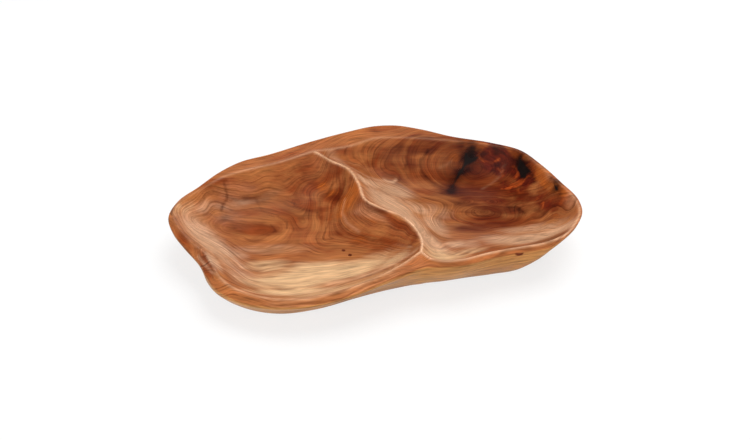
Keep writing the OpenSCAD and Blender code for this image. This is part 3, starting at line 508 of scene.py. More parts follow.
# Figure of the wood, placed in the photograph's pixels. Courses are the ways that the yearly
# rings take over each basin: the number of the ring, then pixels along it. A smooth sheet through
# them gives every other place its ring. On the outer wall the rings are counted down from the rim.
figure = {
    "courses": {
        "left": [
            [0, [365, 202], [376, 208], [389, 213], [403, 220], [413, 229]],
            [1.5, [362, 204], [365, 211], [374, 216], [391, 222], [406, 228], [416, 235]],
            [3, [361, 195], [357, 210], [361, 217], [374, 225], [394, 232], [416, 240]],
            [5, [358, 190], [350, 204], [347, 214], [353, 223], [368, 232], [391, 238], [417, 244]],
            [7, [353, 183], [344, 201], [341, 214], [344, 226], [359, 235], [385, 241], [417, 246]],
            [9, [346, 180], [335, 210], [334, 220], [338, 232], [355, 240], [385, 245], [417, 248]],
            [10.5, [338, 169], [329, 213], [328, 223], [325, 238], [337, 241], [355, 243], [385, 248],
             [415, 250]],
            [11.5, [332, 193]],
            [12, [319, 195], [317, 216], [316, 234], [319, 246], [355, 248], [385, 251], [412, 252]],
            [14, [385, 257], [355, 253], [310, 249], [287, 250], [265, 253], [244, 252], [227, 241],
             [209, 232], [190, 217]],
            [17, [407, 256], [355, 262], [310, 266], [272, 268], [253, 270], [238, 261], [223, 249],
             [205, 238], [185, 222]],
            [20, [385, 264], [325, 277], [287, 283], [265, 283], [247, 279], [232, 268], [218, 256]],
            [22.5, [407, 262], [355, 280], [310, 292], [280, 295], [257, 290], [235, 279], [223, 270]],
            [19, [203, 253], [190, 235], [178, 217]],
            [10.9, [224, 228], [250, 229], [265, 231]],
            [11.5, [232, 222], [257, 225], [270, 226], [276, 231], [268, 235], [244, 237]],
            [12.4, [235, 217], [265, 219], [280, 220], [287, 227], [284, 234], [271, 241], [250, 246]],
            [13.3, [250, 212], [277, 216], [293, 225], [292, 234], [277, 245], [253, 250]],
            [14.5, [205, 210], [232, 207], [256, 205], [280, 209], [295, 214], [304, 222]],
            [16, [205, 195], [227, 196], [256, 198], [287, 199], [302, 202]],
            [15.5, [301, 192], [310, 182], [322, 178]],
            [19, [209, 183], [235, 184], [265, 180], [295, 172], [317, 166]],
            [22, [220, 177], [250, 174], [280, 166], [307, 156]],
            [27, [235, 166], [265, 157], [287, 151]],
            [21, [199, 186], [179, 199], [169, 216]],
            [22, [172, 227], [182, 242], [195, 257]],
            [25, [205, 272], [215, 283]],
            [28, [231, 293], [266, 301], [301, 302], [344, 294], [390, 276], [408, 269], [425, 264]],
            [25, [425, 255]],
        ],
        "right": [
            [0, [477, 167]],
            [2, [460, 167], [467, 175], [478, 178], [490, 175], [492, 165], [480, 158], [467, 158]],
            [4, [447, 165], [450, 178], [465, 183], [482, 183], [500, 178], [505, 163], [492, 152],
             [467, 150], [452, 153]],
            [6, [432, 162], [438, 178], [452, 187], [477, 188], [500, 185], [517, 175], [440, 148],
             [508, 148]],
            [8, [422, 162], [427, 175], [438, 185], [455, 191], [483, 191], [508, 188], [533, 177],
             [427, 150]],
            [10, [415, 163], [418, 177], [432, 188], [450, 193], [483, 194], [517, 191], [547, 180],
             [418, 148]],
            [12, [407, 167], [410, 178], [423, 189], [447, 196], [483, 196], [517, 196], [542, 192],
             [563, 185], [407, 147]],
            [14, [395, 173], [403, 182], [420, 192], [443, 198], [467, 199], [530, 203], [550, 195],
             [570, 192], [393, 148]],
            [16, [375, 170], [387, 182], [403, 188], [423, 197], [442, 202], [378, 150], [533, 213],
             [557, 203], [575, 198]],
            [20, [345, 153], [355, 165], [370, 177], [387, 190], [403, 198], [420, 208], [350, 145],
             [370, 137]],
            [14.6, [450, 213], [455, 221], [468, 224], [492, 224], [517, 220], [453, 207], [467, 203],
             [492, 202], [522, 207]],
            [12.6, [460, 213], [467, 219], [483, 221], [503, 218], [463, 208], [480, 205], [500, 207]],
            [10.6, [472, 212], [477, 216], [485, 216], [493, 213], [475, 208], [485, 207]],
            [9, [482, 211]],
            [17, [432, 220], [438, 229], [453, 232], [483, 232], [517, 226], [542, 221], [563, 214],
             [577, 207]],
            [21, [433, 243], [450, 242], [483, 237], [517, 230], [550, 223], [572, 218]],
            [24, [443, 256], [467, 252], [500, 243], [533, 237], [560, 231], [575, 220]],
            [22, [357, 168], [370, 185], [390, 195], [410, 207], [422, 223], [430, 247]],
            [25, [365, 187], [380, 200], [402, 213], [413, 227], [422, 248]],
            [27, [325, 142], [350, 132], [375, 127], [393, 126]],
            [22, [327, 148], [350, 138], [375, 133]],
            [17, [403, 134], [417, 129]],
            [12, [433, 137], [442, 136]],
            [8, [467, 141]],
            [28, [432, 263], [461, 262], [491, 254], [521, 249], [551, 243], [577, 223]],
            [20, [580, 208]],
        ],
    },
    # the sheet: millimetres in its unit, how far it may leave a course, points at once
    "sheetUnit": 100, "sheetSlack": 0.0008, "batch": 5000,
    # the outer wall: rings in a millimetre down it, share of it that is still the rim, height
    # below which it is the foot, and edge points over which the two figures meet
    "wallRings": 0.25, "cornerShare": 0.3, "footClear": 0.2, "joinPoints": 24,
    # a zone: least radii, how fast and how sharply it fades, share of the wall where the painted sheen ends
    "leastAlong": 4, "leastAcross": 3, "fade": 0.7, "fadePower": 1.4, "paintedSheenEnd": 0.05,
    # count, shortest and longest wave in millimetres, height in rings, stretch along the bowl
    "waves": [[14, 40, 110, 0.026, 0.45], [18, 12, 32, 0.014, 0.35]],
    # how far a wave may lean out of the level, and what its random draws start from
    "waveLean": 0.8, "seed": 11,
    # a smaller knot than this long is as dark at its heart as one of this length
    "coreLength": 18,
    # the wood's tones and the painted sheen as ellipses: middle, radius along, radius across, turn and
    # strength
    "zones": {
        "heart": [
            [497, 143, 34, 5, 10, 0.9], [532, 158, 22, 5, 38, 0.6], [556, 178, 18, 5, 42, 0.3],
            [368, 238, 44, 8, 4, 0.8], [400, 130, 44, 5, 5, 0.6], [350, 147, 24, 6, -24, 0.5],
            [551, 199, 26, 12, 35, 0.8], [298, 206, 18, 8, 0, 0.6], [345, 160, 24, 6, -10, 0.5],
            [498, 162, 14, 12, 0, 0.6], [252, 229, 32, 7, 6, 0.9], [335, 196, 13, 8, 0, 1],
            [330, 176, 46, 8, -12, 0.6], [300, 204, 22, 7, 10, 0.8], [348, 188, 8, 14, 0, 0.5],
            [318, 213, 8, 12, 0, 0.6], [255, 212, 28, 5, 0, 0.6], [255, 186, 34, 6, -8, 0.3],
            [435, 146, 44, 9, 6, 1], [370, 160, 22, 6, -20, 0.6], [435, 170, 40, 22, 0, 0.7],
            [480, 178, 60, 26, 10, 1], [480, 195, 44, 7, 2, 1], [545, 190, 34, 20, 30, 0.6],
            [500, 219, 52, 6, -4, 0.9], [450, 217, 16, 6, 0, 0.7], [560, 205, 24, 14, -20, 0.5],
            [183, 240, 14, 6, 55, 0.8], [208, 266, 14, 8, 60, 1], [236, 277, 12, 8, 40, 0.35],
            [350, 247, 18, 4, 0, 0.6], [388, 247, 24, 4, -14, 0.7], [285, 157, 22, 5, -20, 0.7],
            [300, 140, 40, 5, -18, 0.3], [210, 184, 14, 5, -25, 0.8], [180, 205, 16, 4, -40, 0.3],
            [394, 219, 24, 4, 30, 0.8], [415, 236, 5, 12, -16, 0.7], [330, 246, 28, 6, 0, 0.5],
            [266, 181, 34, 6, -10, 0.35], [310, 170, 30, 6, -10, 0.35], [360, 149, 24, 7, -10, 0.4],
            [320, 222, 14, 12, 0, 0.4], [340, 232, 14, 10, 20, 0.35], [422, 191, 26, 4, 2, 0.7],
            [300, 192, 12, 7, 0, 0.75], [484, 244, 18, 4, -8, 0.5], [447, 137, 18, 4, 8, 0.9],
            [288, 219, 18, 11, 0, 0.6], [324, 215, 9, 14, 0, 0.6], [333, 243, 14, 12, 0, 0.55],
            [204, 271, 8, 12, -30, 0.8], [288, 172, 18, 7, -10, 0.3], [212, 190, 16, 5, -14, 0.35],
        ],
        "umber": [
            [498, 160, 14, 10, 0, 0.6], [478, 165, 12, 12, 0, 0.5], [520, 203, 44, 7, 8, 0.8],
            [490, 221, 22, 5, 0, 0.6], [404, 164, 26, 8, 6, 0.7], [366, 163, 12, 5, 20, 0.5],
            [500, 143, 26, 4, 12, 0.5], [528, 155, 16, 4, 36, 0.7], [500, 186, 30, 6, 0, 0.5],
            [440, 141, 36, 6, 6, 0.8], [476, 226, 24, 5, -4, 0.5], [404, 153, 36, 7, -8, 0.7],
            [548, 203, 16, 8, 35, 0.4], [515, 201, 26, 6, 8, 0.6], [452, 180, 16, 22, -60, 0.55],
            [478, 172, 22, 14, 0, 0.7], [512, 165, 18, 14, 20, 0.4], [507, 209, 36, 7, 3, 1],
            [478, 194, 42, 6, 3, 0.9], [446, 190, 14, 6, 0, 0.4], [528, 205, 14, 8, 0, 0.6],
            [450, 139, 20, 4, 8, 0.6], [548, 202, 14, 7, 30, 0.4], [335, 197, 8, 4, 0, 0.8],
            [300, 197, 12, 4, 10, 0.5], [488, 188, 30, 7, 4, 0.8], [522, 196, 22, 8, 12, 0.9],
            [500, 200, 34, 7, 4, 0.9], [488, 163, 8, 14, 0, 0.7], [418, 149, 32, 7, -4, 0.9],
            [548, 187, 14, 5, 35, 0.5], [320, 212, 8, 10, 0, 0.4], [498, 214, 26, 14, 0, 0.8],
            [400, 180, 15, 12, 20, 0.6], [356, 154, 14, 7, 20, 0.5], [345, 188, 8, 16, 0, 0.6],
            [487, 186, 16, 18, 0, 0.6],
        ],
        "smoke": [
            [243, 201, 14, 3, 5, 0.5], [268, 196, 18, 6, -20, 0.6], [213, 191, 14, 5, -10, 0.5],
            [300, 212, 20, 5, 20, 0.5], [330, 165, 30, 5, -15, 0.5], [225, 212, 26, 6, -5, 0.35],
            [420, 150, 40, 8, 10, 0.5], [545, 215, 24, 8, 10, 0.4], [470, 205, 26, 6, 0, 0.4],
            [216, 253, 12, 15, -35, 0.6], [425, 232, 4, 15, -18, 0.5], [405, 212, 20, 3, 26, 0.4],
            [545, 241, 18, 9, -32, 0.7],
        ],
        "burl": [
            [504, 158, 24, 16, 18, 1], [486, 150, 18, 9, 10, 0.8], [526, 178, 14, 10, 25, 0.8],
            [540, 171, 10, 6, 35, 0.5], [500, 168, 12, 9, 30, 0.7], [492, 143, 18, 5, 8, 0.6],
            [512, 186, 18, 7, 10, 0.45], [541, 203, 16, 7, 20, 0.45], [548, 186, 12, 6, 40, 0.3],
            [560, 206, 12, 7, -20, 0.4], [500, 197, 26, 4, 4, 0.35],
        ],
        "amber": [
            [362, 241, 12, 4, 0, 0.3], [352, 195, 8, 30, -10, 0.7], [370, 216, 16, 6, 30, 0.35],
            [565, 208, 16, 10, -30, 0.35], [440, 160, 24, 6, -6, 0.3], [420, 262, 20, 6, -10, 0.7],
            [190, 215, 10, 16, 20, 0.4], [550, 180, 20, 9, 38, 1], [192, 206, 12, 6, -20, 0.6],
            [240, 190, 14, 10, 0, 0.25], [272, 195, 16, 8, -10, 0.3], [326, 188, 8, 6, 0, 0.35],
            [474, 143, 12, 6, 8, 1], [518, 151, 14, 6, 32, 1], [330, 192, 8, 6, 0, 0.4],
            [360, 240, 14, 4, 0, 0.45], [571, 203, 9, 8, -40, 0.3], [453, 157, 8, 8, 0, 0.6],
        ],
        # painted sheen: the greyish-pink glaze on walls that face the lamp at the back, laid in the colour
        "ash": [
            [208, 240, 40, 10, 52, 0.8], [232, 262, 16, 6, 40, 0.4], [372, 184, 16, 4, 25, 0.9],
            [392, 190, 22, 6, 18, 0.85], [392, 203, 26, 8, 38, 1], [412, 222, 22, 11, 55, 0.9],
            [428, 242, 16, 14, 60, 0.9], [532, 236, 46, 5, -10, 1], [436, 212, 18, 7, 15, 0.5],
            [455, 244, 12, 4, -5, 0.7], [202, 207, 12, 7, -30, 0.5], [272, 249, 36, 5, 0, 0.45],
            [214, 261, 12, 5, 60, 0.7], [225, 215, 30, 16, 20, 0.2], [416, 208, 22, 6, 28, 0.7],
            [434, 224, 16, 8, 52, 0.7], [238, 190, 30, 10, -8, 0.2], [544, 227, 24, 4, -12, 0.7],
            [528, 229, 26, 4, -8, 0.6], [236, 272, 18, 8, 40, 0.45], [224, 250, 24, 7, 42, 0.3],
            [374, 214, 22, 5, 26, 0.22], [340, 161, 20, 3, 34, 0.4], [236, 205, 24, 5, -6, 0.3],
            [551, 177, 12, 4, 42, 0.35], [370, 214, 18, 6, 14, 0.3], [272, 196, 14, 6, -20, 0.2],
            [218, 208, 11, 7, 0, 0.3], [270, 195, 14, 6, -24, 0.25], [467, 244, 16, 4, -8, 0.5],
            [238, 254, 10, 7, 30, 0.4], [571, 203, 8, 8, -40, 0.3],
        ],
        # pale sapwood; the rows at the right basin's front are painted sheen
        "pale": [
            [304, 276, 52, 11, -9, 1], [345, 270, 42, 8, -15, 1], [393, 260, 18, 4, -30, 0.6],
            [266, 266, 22, 6, -2, 0.6], [342, 286, 64, 4, -20, 0.55], [176, 208, 9, 9, -60, 0.5],
            [186, 207, 12, 6, -30, 0.4], [445, 255, 22, 5, 0, 0.7], [462, 252, 24, 4, -8, 0.4],
            [292, 291, 38, 4, -2, 0.9], [268, 289, 16, 4, 6, 0.4],
        ],
        "bark": [
            [471, 160, 7, 6, -30, 0.75], [464, 168, 6, 12, 22, 0.5], [454, 184, 5, 11, 22, 0.3],
            [479, 157, 8, 4, -20, 0.5], [519, 164, 5, 8, -10, 0.75], [526, 170, 9, 6, 20, 0.6],
            [556, 187, 4, 6, -30, 0.7], [499, 166, 6, 5, 40, 0.3], [517, 210, 12, 3, 6, 0.35],
        ],
    },
    # dark threads in the figure: strength, half width in millimetres, pixels along it
    "veins": [
        [0.35, 1.5, [350, 195], [346, 207], [348, 217], [355, 225], [370, 232]],
        [0.35, 1.5, [340, 199], [337, 214], [341, 226], [352, 235], [373, 240]],
        [0.7, 1.3, [224, 184], [227, 193], [227, 199], [223, 205], [221, 211]],
        [0.6, 2.2, [244, 198], [256, 198]],
        [0.5, 1.3, [256, 199], [262, 210], [274, 217]],
        [0.6, 1, [277, 216], [287, 222], [287, 229]],
        [0.5, 1.1, [271, 225], [276, 231], [268, 235]],
        [0.6, 1.1, [293, 201], [295, 206], [304, 210], [316, 211], [319, 215]],
        [0.5, 1.3, [302, 192], [308, 184], [316, 179]],
        [0.6, 1.1, [329, 222], [324, 234], [323, 240], [332, 239]],
        [0.7, 1.3, [366, 202], [368, 207], [376, 210], [386, 212]],
        [0.5, 1.3, [338, 166], [337, 180], [331, 186], [327, 195]],
        [0.8, 1.3, [428, 151], [420, 161], [422, 172], [432, 182], [447, 190]],
        [0.6, 1.3, [407, 162], [404, 170], [408, 178]],
        [0.4, 1.1, [443, 153], [436, 162], [438, 172]],
        [0.6, 1, [399, 177], [400, 180], [397, 182]],
        [1.2, 8, [464, 147], [470, 158], [467, 168], [458, 178], [451, 190]],
        [0.6, 15, [468, 150], [467, 168], [455, 182], [450, 193]],
        [0.9, 3.5, [470, 159], [481, 156]],
        [1.2, 7, [514, 152], [521, 162], [522, 178]],
        [0.6, 14, [515, 152], [523, 175]],
        [0.9, 3.5, [520, 168], [533, 175]],
        [0.8, 3, [521, 163], [508, 170]],
        [1, 3.6, [551, 178], [557, 187], [560, 193]],
        [0.7, 2, [557, 187], [552, 190]],
        [0.5, 6, [492, 152], [503, 163], [505, 175]],
        [0.6, 5, [493, 145], [507, 148]],
        [0.6, 2, [540, 203], [548, 195]],
        [0.5, 2, [535, 210], [545, 213]],
        [0.7, 1, [452, 209], [450, 213], [452, 218], [458, 221]],
        [0.6, 0.9, [478, 208], [473, 211], [478, 216], [488, 216]],
        [0.8, 1.6, [507, 207], [517, 207], [524, 213]],
        [0.5, 1.2, [497, 160], [493, 168], [500, 175], [504, 163]],
        [0.55, 1.3, [540, 204], [546, 197], [552, 192]],
    ],
    # pale threads: painted highlights along the front edges, the spur's crest and the left wall, and a few
    # pale lines of grain
    "threads": [
        [0.5, 4, [330, 284], [360, 277], [385, 267], [405, 257], [415, 251]],
        [0.5, 2.5, [244, 290], [262, 294], [300, 294], [335, 287]],
        [0.25, 1.3, [345, 199], [342, 213], [347, 223], [359, 232]],
        [0.35, 1.6, [352, 168], [366, 176], [382, 181]],
        [0.9, 1.3, [384, 180], [388, 182], [393, 182], [396, 180]],
        [0.5, 1.6, [186, 222], [200, 236], [216, 246], [232, 256], [243, 268]],
        [0.4, 1.2, [198, 256], [212, 272], [232, 287]],
        [0.35, 1.2, [274, 294], [295, 295], [325, 289], [355, 282]],
        [0.15, 0.9, [439, 168], [446, 165], [452, 161]],
        [0.13, 1.1, [482, 189], [492, 183], [500, 176], [504, 166]],
    ],
    # how strongly the painted highlight along the edge shows, by rim station
    "edgeShows": [[0, 3, 4, 6, 8, 10, 12, 15, 18, 24, 27, 29, 34, 38],
                  [0.5, 0.3, 0.1, 0.05, 0.2, 0.3, 0.6, 0.35, 1, 0.9, 0.5, 0.15, 0.2, 0.4]],
    # its width, steps between two of its points, and the longest way between two of one line
    "edgeWidth": 1.4, "edgeSteps": 4, "longestStep": 8,
}

# The camera that sees the bowl as the photograph does
view = {
    "target": (0, 0.0105, 0.028), "distance": 1.6, "elevation": 38, "lens": 78.5, "sensor": 36,
    "picture": (750, 440), "bowlMiddle": (375, 215), "drawSteps": 200,
}
lift = math.radians(view["elevation"])
eye = np.array(view["target"]) + view["distance"] * np.array([0, -math.cos(lift), math.sin(lift)])
bowlTree = bvhtree.BVHTree.FromObject(carvedBowl, bpy.context.evaluated_depsgraph_get())


# The place in millimetres on the bowl that shows at a pixel. A pixel that misses the bowl is
# drawn in towards its middle until it meets it.
def seenAt(pixel):
    inner = np.array(view["bowlMiddle"])
    reach = view["lens"] / view["sensor"] * view["picture"][0]
    for share in np.linspace(1, 0, view["drawSteps"]):
        right, down = inner + (np.array(pixel) - inner) * share - np.array(view["picture"]) / 2
        way = np.array([right, math.cos(lift) * reach - math.sin(lift) * down,
                        -math.sin(lift) * reach - math.cos(lift) * down])
        hit = bowlTree.ray_cast(eye, way)[0]
        if hit is not None:
            return np.array(hit) / mm


def seenLine(line):
    return [seenAt(pixel)[:2] for pixel in line]


# An ellipse in the picture, laid on the plan: its middle, two radii and turn
def planEllipse(u, v, along, across, turn):
    middle = np.array([u, v])
    c, s = math.cos(math.radians(turn)), math.sin(math.radians(turn))
    axes = np.array([[c, s], [-s, c]])
    first, last, near, far = (seenAt(middle + reach @ axes)[:2] for reach in np.array(
        [[-along, 0], [along, 0], [0, across], [0, -across]]))
    axis = (last - first) / 2
    radius = max(figure["leastAlong"], np.linalg.norm(axis))
    side = (far - near) / 2
    side = side - axis * (side @ axis) / radius ** 2
    centre = (first + last + near + far + 2 * seenAt(middle)[:2]) / 6
    width = max(figure["leastAcross"], np.linalg.norm(side))
    return centre, radius, width, math.atan2(axis[1], axis[0])


# How far points lie from an ellipse's middle: 0 there and 1 on the ellipse
def spreadOver(points, centre, along, across, turn):
    dx, dy = points[:, 0] - centre[0], points[:, 1] - centre[1]
    u = dx * math.cos(turn) + dy * math.sin(turn)
    v = dy * math.cos(turn) - dx * math.sin(turn)
    return (u / along) ** 2 + (v / across) ** 2


def sheetPull(points, others):
    square = ((points[:, None] - others[None]) ** 2).sum(axis=2) + tiny
    return square * np.log(square) / 2


# The sheet through one basin's courses: the places that hold it, and their weights
def courseSheet(courses):
    held = np.array([place for ring, *line in courses for place in seenLine(line)]) / figure["sheetUnit"]
    rings = [ring for ring, *line in courses for place in line]
    count = len(held)
    system = np.zeros((count + 3, count + 3))
    system[:count, :count] = sheetPull(held, held) + np.eye(count) * figure["sheetSlack"]
    system[:count, count] = 1
    system[:count, count + 1:] = held
    system[count:, :count] = system[:count, count:].T
    return held, np.linalg.solve(system, rings + [0, 0, 0])


def sheetAt(sheet, places):
    held, weights = sheet
    found = []
    parts = max(1, len(places) // figure["batch"])
    for chunk in np.array_split(places / figure["sheetUnit"], parts):
        found.append(sheetPull(chunk, held) @ weights[:-3] + weights[-3] + chunk @ weights[-2:])
    return np.concatenate(found)


def rippleAt(points):
    draw = np.random.default_rng(figure["seed"])
    lean = figure["waveLean"]
    ripple = np.zeros(len(points))
    for count, shortest, longest, height, stretch in figure["waves"]:
        for _ in range(count):
            wave = draw.uniform(shortest, longest)
            heading = draw.uniform(0, 2 * math.pi)
            across = np.array([math.cos(heading) * stretch, math.sin(heading), draw.uniform(-lean, lean)])
            phase = draw.uniform(0, 2 * math.pi)
            ripple = ripple + height * np.sin(points @ across * 2 * math.pi / wave + phase)
    return ripple


def zoneAt(points, share, rows):
    zone = np.zeros(len(points))
    for spread, strength, side in rows:
        reach = strength * (share if side else 1 - share)
        away = spreadOver(points, *spread) ** figure["fadePower"]
        zone = np.maximum(zone, reach * np.exp(-figure["fade"] * away))
    return zone


def drawnLines(points, rows):
    drawn = np.zeros(len(points))
    for strength, width, *line in rows:
        drawn = np.maximum(drawn, strength * np.exp(-(awayFromLine(points[:, :2], line) / width) ** 2))
    return drawn


# Where each point of a piece lies on the bowl's own surfaces: which basin's figure it takes, as
# 0 for the left and 1 for the right, how far over the rim it is, from 0 on the edge to 1 at the
# foot, and the place that its rings are counted from
surfaceRows = [(name, row, i) for name, grid in grids.items()
               for row in range(len(grid)) for i in range(len(grid[0]))]
surfaceTree = kdtree.KDTree(len(surfaceRows))
for number, (name, row, i) in enumerate(surfaceRows):
    surfaceTree.insert(grids[name][row][i], number)
surfaceTree.balance()
edgeSteps = figure["edgeSteps"]
edgeTree = kdtree.KDTree(len(edgePoints) * edgeSteps)
for i, (a, b) in enumerate(zip(edgePoints, neighbours(edgePoints)[1])):
    joined = np.linalg.norm(b - a) < figure["longestStep"]
    for k in range(edgeSteps):
        edgeTree.insert(a + (b - a) * k / edgeSteps if joined else a, i * edgeSteps + k)
edgeTree.balance()
frontPoint = bowl["dividerFront"] * bowl["rimSteps"]
rimPoints = len(grids["outer"][0])
cornerRow = round(figure["cornerShare"] * bowl["wallRings"])


def placedOnBowl(points):
    share, overRim, counted = (np.zeros(len(points)) for _ in range(3))
    counts = np.array(points)
    for k, p in enumerate(points):
        name, row, i = surfaceRows[surfaceTree.find(p)[1]]
        share[k] = name == "right"
        if name == "outer":
            # the two figures run into each other on the rim at both ends of the divider
            past = min(abs(i - frontPoint), min(i, rimPoints - i)) / figure["joinPoints"]
            share[k] = 0.5 + min(past, 1) * (0.5 if i > frontPoint else -0.5)
            overRim[k] = row / bowl["wallRings"]
            if row > cornerRow:
                counts[k] = grids["outer"][cornerRow][i]
                counted[k] = max(0, counts[k][2] - p[2])
    return share, overRim, counts, counted


# A zone's ellipse on the plan, its strength, and its side: 0 for the left basin, 1 for the right
def planZone(row):
    *ellipse, strength = row
    side = round(placedOnBowl([seenAt(row[:2])])[0][0])
    return planEllipse(*ellipse), strength, side


sheets = {name: courseSheet(courses) for name, courses in figure["courses"].items()}
zones = {name: [planZone(row) for row in rows] for name, rows in figure["zones"].items()}
strokes = {name: [[strength, width, *seenLine(line)] for strength, width, *line in figure[name]]
           for name in ("veins", "threads")}
print("figure placed:", sum(len(rows) for rows in zones.values()), "zones")


# Writes the rings, the zones and the painted edge highlight on each point of a piece, for its material
def layGrain(piece, outline=None):
    mesh = piece.data
    points = np.empty(len(mesh.vertices) * 3)
    mesh.vertices.foreach_get("co", points)
    points = points.reshape(-1, 3) / mm
    share, overRim, counts, counted = placedOnBowl(points)
    # the foot is outer wood too, though its middle lies closest to the basins' floors
    onFoot = points[:, 2] < figure["footClear"]
    overRim[onFoot], counts[onFoot], counted[onFoot] = 1, points[onFoot], 0
    sides = [sheetAt(sheets[name], counts[:, :2]) for name in ("left", "right")]
    rings = sides[0] * (1 - share) + sides[1] * share
    fields = {"growth": rings + counted * figure["wallRings"] + rippleAt(points), "overRim": overRim}
    for name, rows in zones.items():
        fields[name] = zoneAt(points, share, rows)
    # the painted sheen stops at the rim
    fields["ash"] *= np.clip(1 - overRim / figure["paintedSheenEnd"], 0, 1)
    inside = overRim < figure["cornerShare"]
    fields["vein"] = drawnLines(points, strokes["veins"]) * inside
    # the edge field is a painted highlight along the basins' edges and crests, joined by the pale threads
    nearest = [edgeTree.find(p) for p in points]
    passed = [i // edgeSteps for _, i, _ in nearest]
    shows = [np.interp(i / bowl["rimSteps"], *figure["edgeShows"]) if i < rimPoints else 1 for i in passed]
    away = np.array([distance for _, _, distance in nearest])
    threads = drawnLines(points, strokes["threads"]) * inside
    fields["edge"] = np.maximum(threads, np.exp(-(away / figure["edgeWidth"]) ** 2) * shows)
    fields["core"] = np.zeros(len(points))
    if outline is not None:
        wide = np.linalg.norm(outline.max(axis=0) - outline.min(axis=0))
        deep = max(1, figure["coreLength"] / wide)
        fields["core"] = awayFromLine(points, np.vstack([outline, outline[:1]])) * deep
    for name, values in fields.items():
        layer = mesh.attributes.new(name, "FLOAT", "POINT")
        layer.data.foreach_set("value", values)


def linear(hexText):
    values = [int(hexText[i:i + 2], 16) / 255 for i in (1, 3, 5)]
    return [v / 12.92 if v <= 0.04045 else ((v + 0.055) / 1.055) ** 2.4 for v in values] + [1]


# Adds a node with its settings and links, each named by its input or by the number of it
def node(tree, kind, settings, links):
    made = tree.nodes.new("ShaderNode" + kind)
    for key, value in settings.items():
        if isinstance(key, str) and key not in made.inputs:
            setattr(made, key, value)
        else:
            made.inputs[key].default_value = value
    for key, source in links.items():
        tree.links.new(source, made.inputs[key])
    return made


# A material or the air from rows of nodes: name, kind, settings, and links as the name of a row,
# with the output's name or number after a colon where it isn't the first
def woven(owner, rows):
    owner.use_nodes = True
    tree = owner.node_tree
    tree.nodes.clear()
    made = {}
    for title, kind, settings, links in rows:
        sources = {}
        for key, source in links.items():
            giver, _, output = source.partition(":")
            sources[key] = made[giver].outputs[int(output) if output.isdigit() else output or 0]
        made[title] = node(tree, kind, settings, sources)
    return owner


def perMetre(*sizes):
    return [1 / (size * mm) for size in sizes]


# Settings that many nodes share
scaled = {"operation": "MULTIPLY_ADD"}
times = {"operation": "MULTIPLY"}
eased = {"interpolation_type": "SMOOTHSTEP"}
evened = {"clamp": False, 1: 0.5, 2: 0.7, 3: 0.0, 4: 1.0}  # noise spread out from -1 to 1
laid = {"data_type": "RGBA"}
stained = {"data_type": "RGBA", "blend_type": "MULTIPLY"}

tones = {
    "light": "#ab693a", "brown": "#8b4a29", "rim": "#ac673a",
    # the edge tone is a painted highlight along the edges and crests
    "outside": "#b8844c", "outsideBrown": "#9d6637", "edge": "#dfb08a",
    "burlDark": "#1e0805", "burlRed": "#641d0d", "burlFlame": "#ad4c1d",
    # laid one over the other: tone, how much of it shows, where its edge starts and ends, and
    # how ragged its edge is. The burl has no single tone.
    "zones": {
        "heart": ["#78310f", 0.8, 0.1, 0.9, 1], "umber": ["#541706", 0.85, 0.15, 0.95, 1],
        "smoke": ["#5a3520", 0.6, 0.15, 0.9, 1],
        "burl": ["", 0.95, 0.15, 0.6, 1], "amber": ["#b05c22", 0.7, 0.2, 0.7, 1],
        # the greyish-pink tone below is a painted sheen; pale is sapwood, with painted sheen in places
        "ash": ["#cba07e", 0.85, 0.05, 0.95, 0.55], "pale": ["#d6ae82", 0.9, 0.05, 0.9, 0.7],
        "bark": ["#1a0d0a", 1.0, 0.0, 1.0, 1],
    },
    # what a ring's dark line and a dark thread leave of the tone below
    "ringTint": "#a68e7e", "veinTint": "#7e594b",
    "roughness": 0.36, "ior": 1.5,
    # oil soaked into the fibres leaves little gloss
    "specular": 0.05,
}
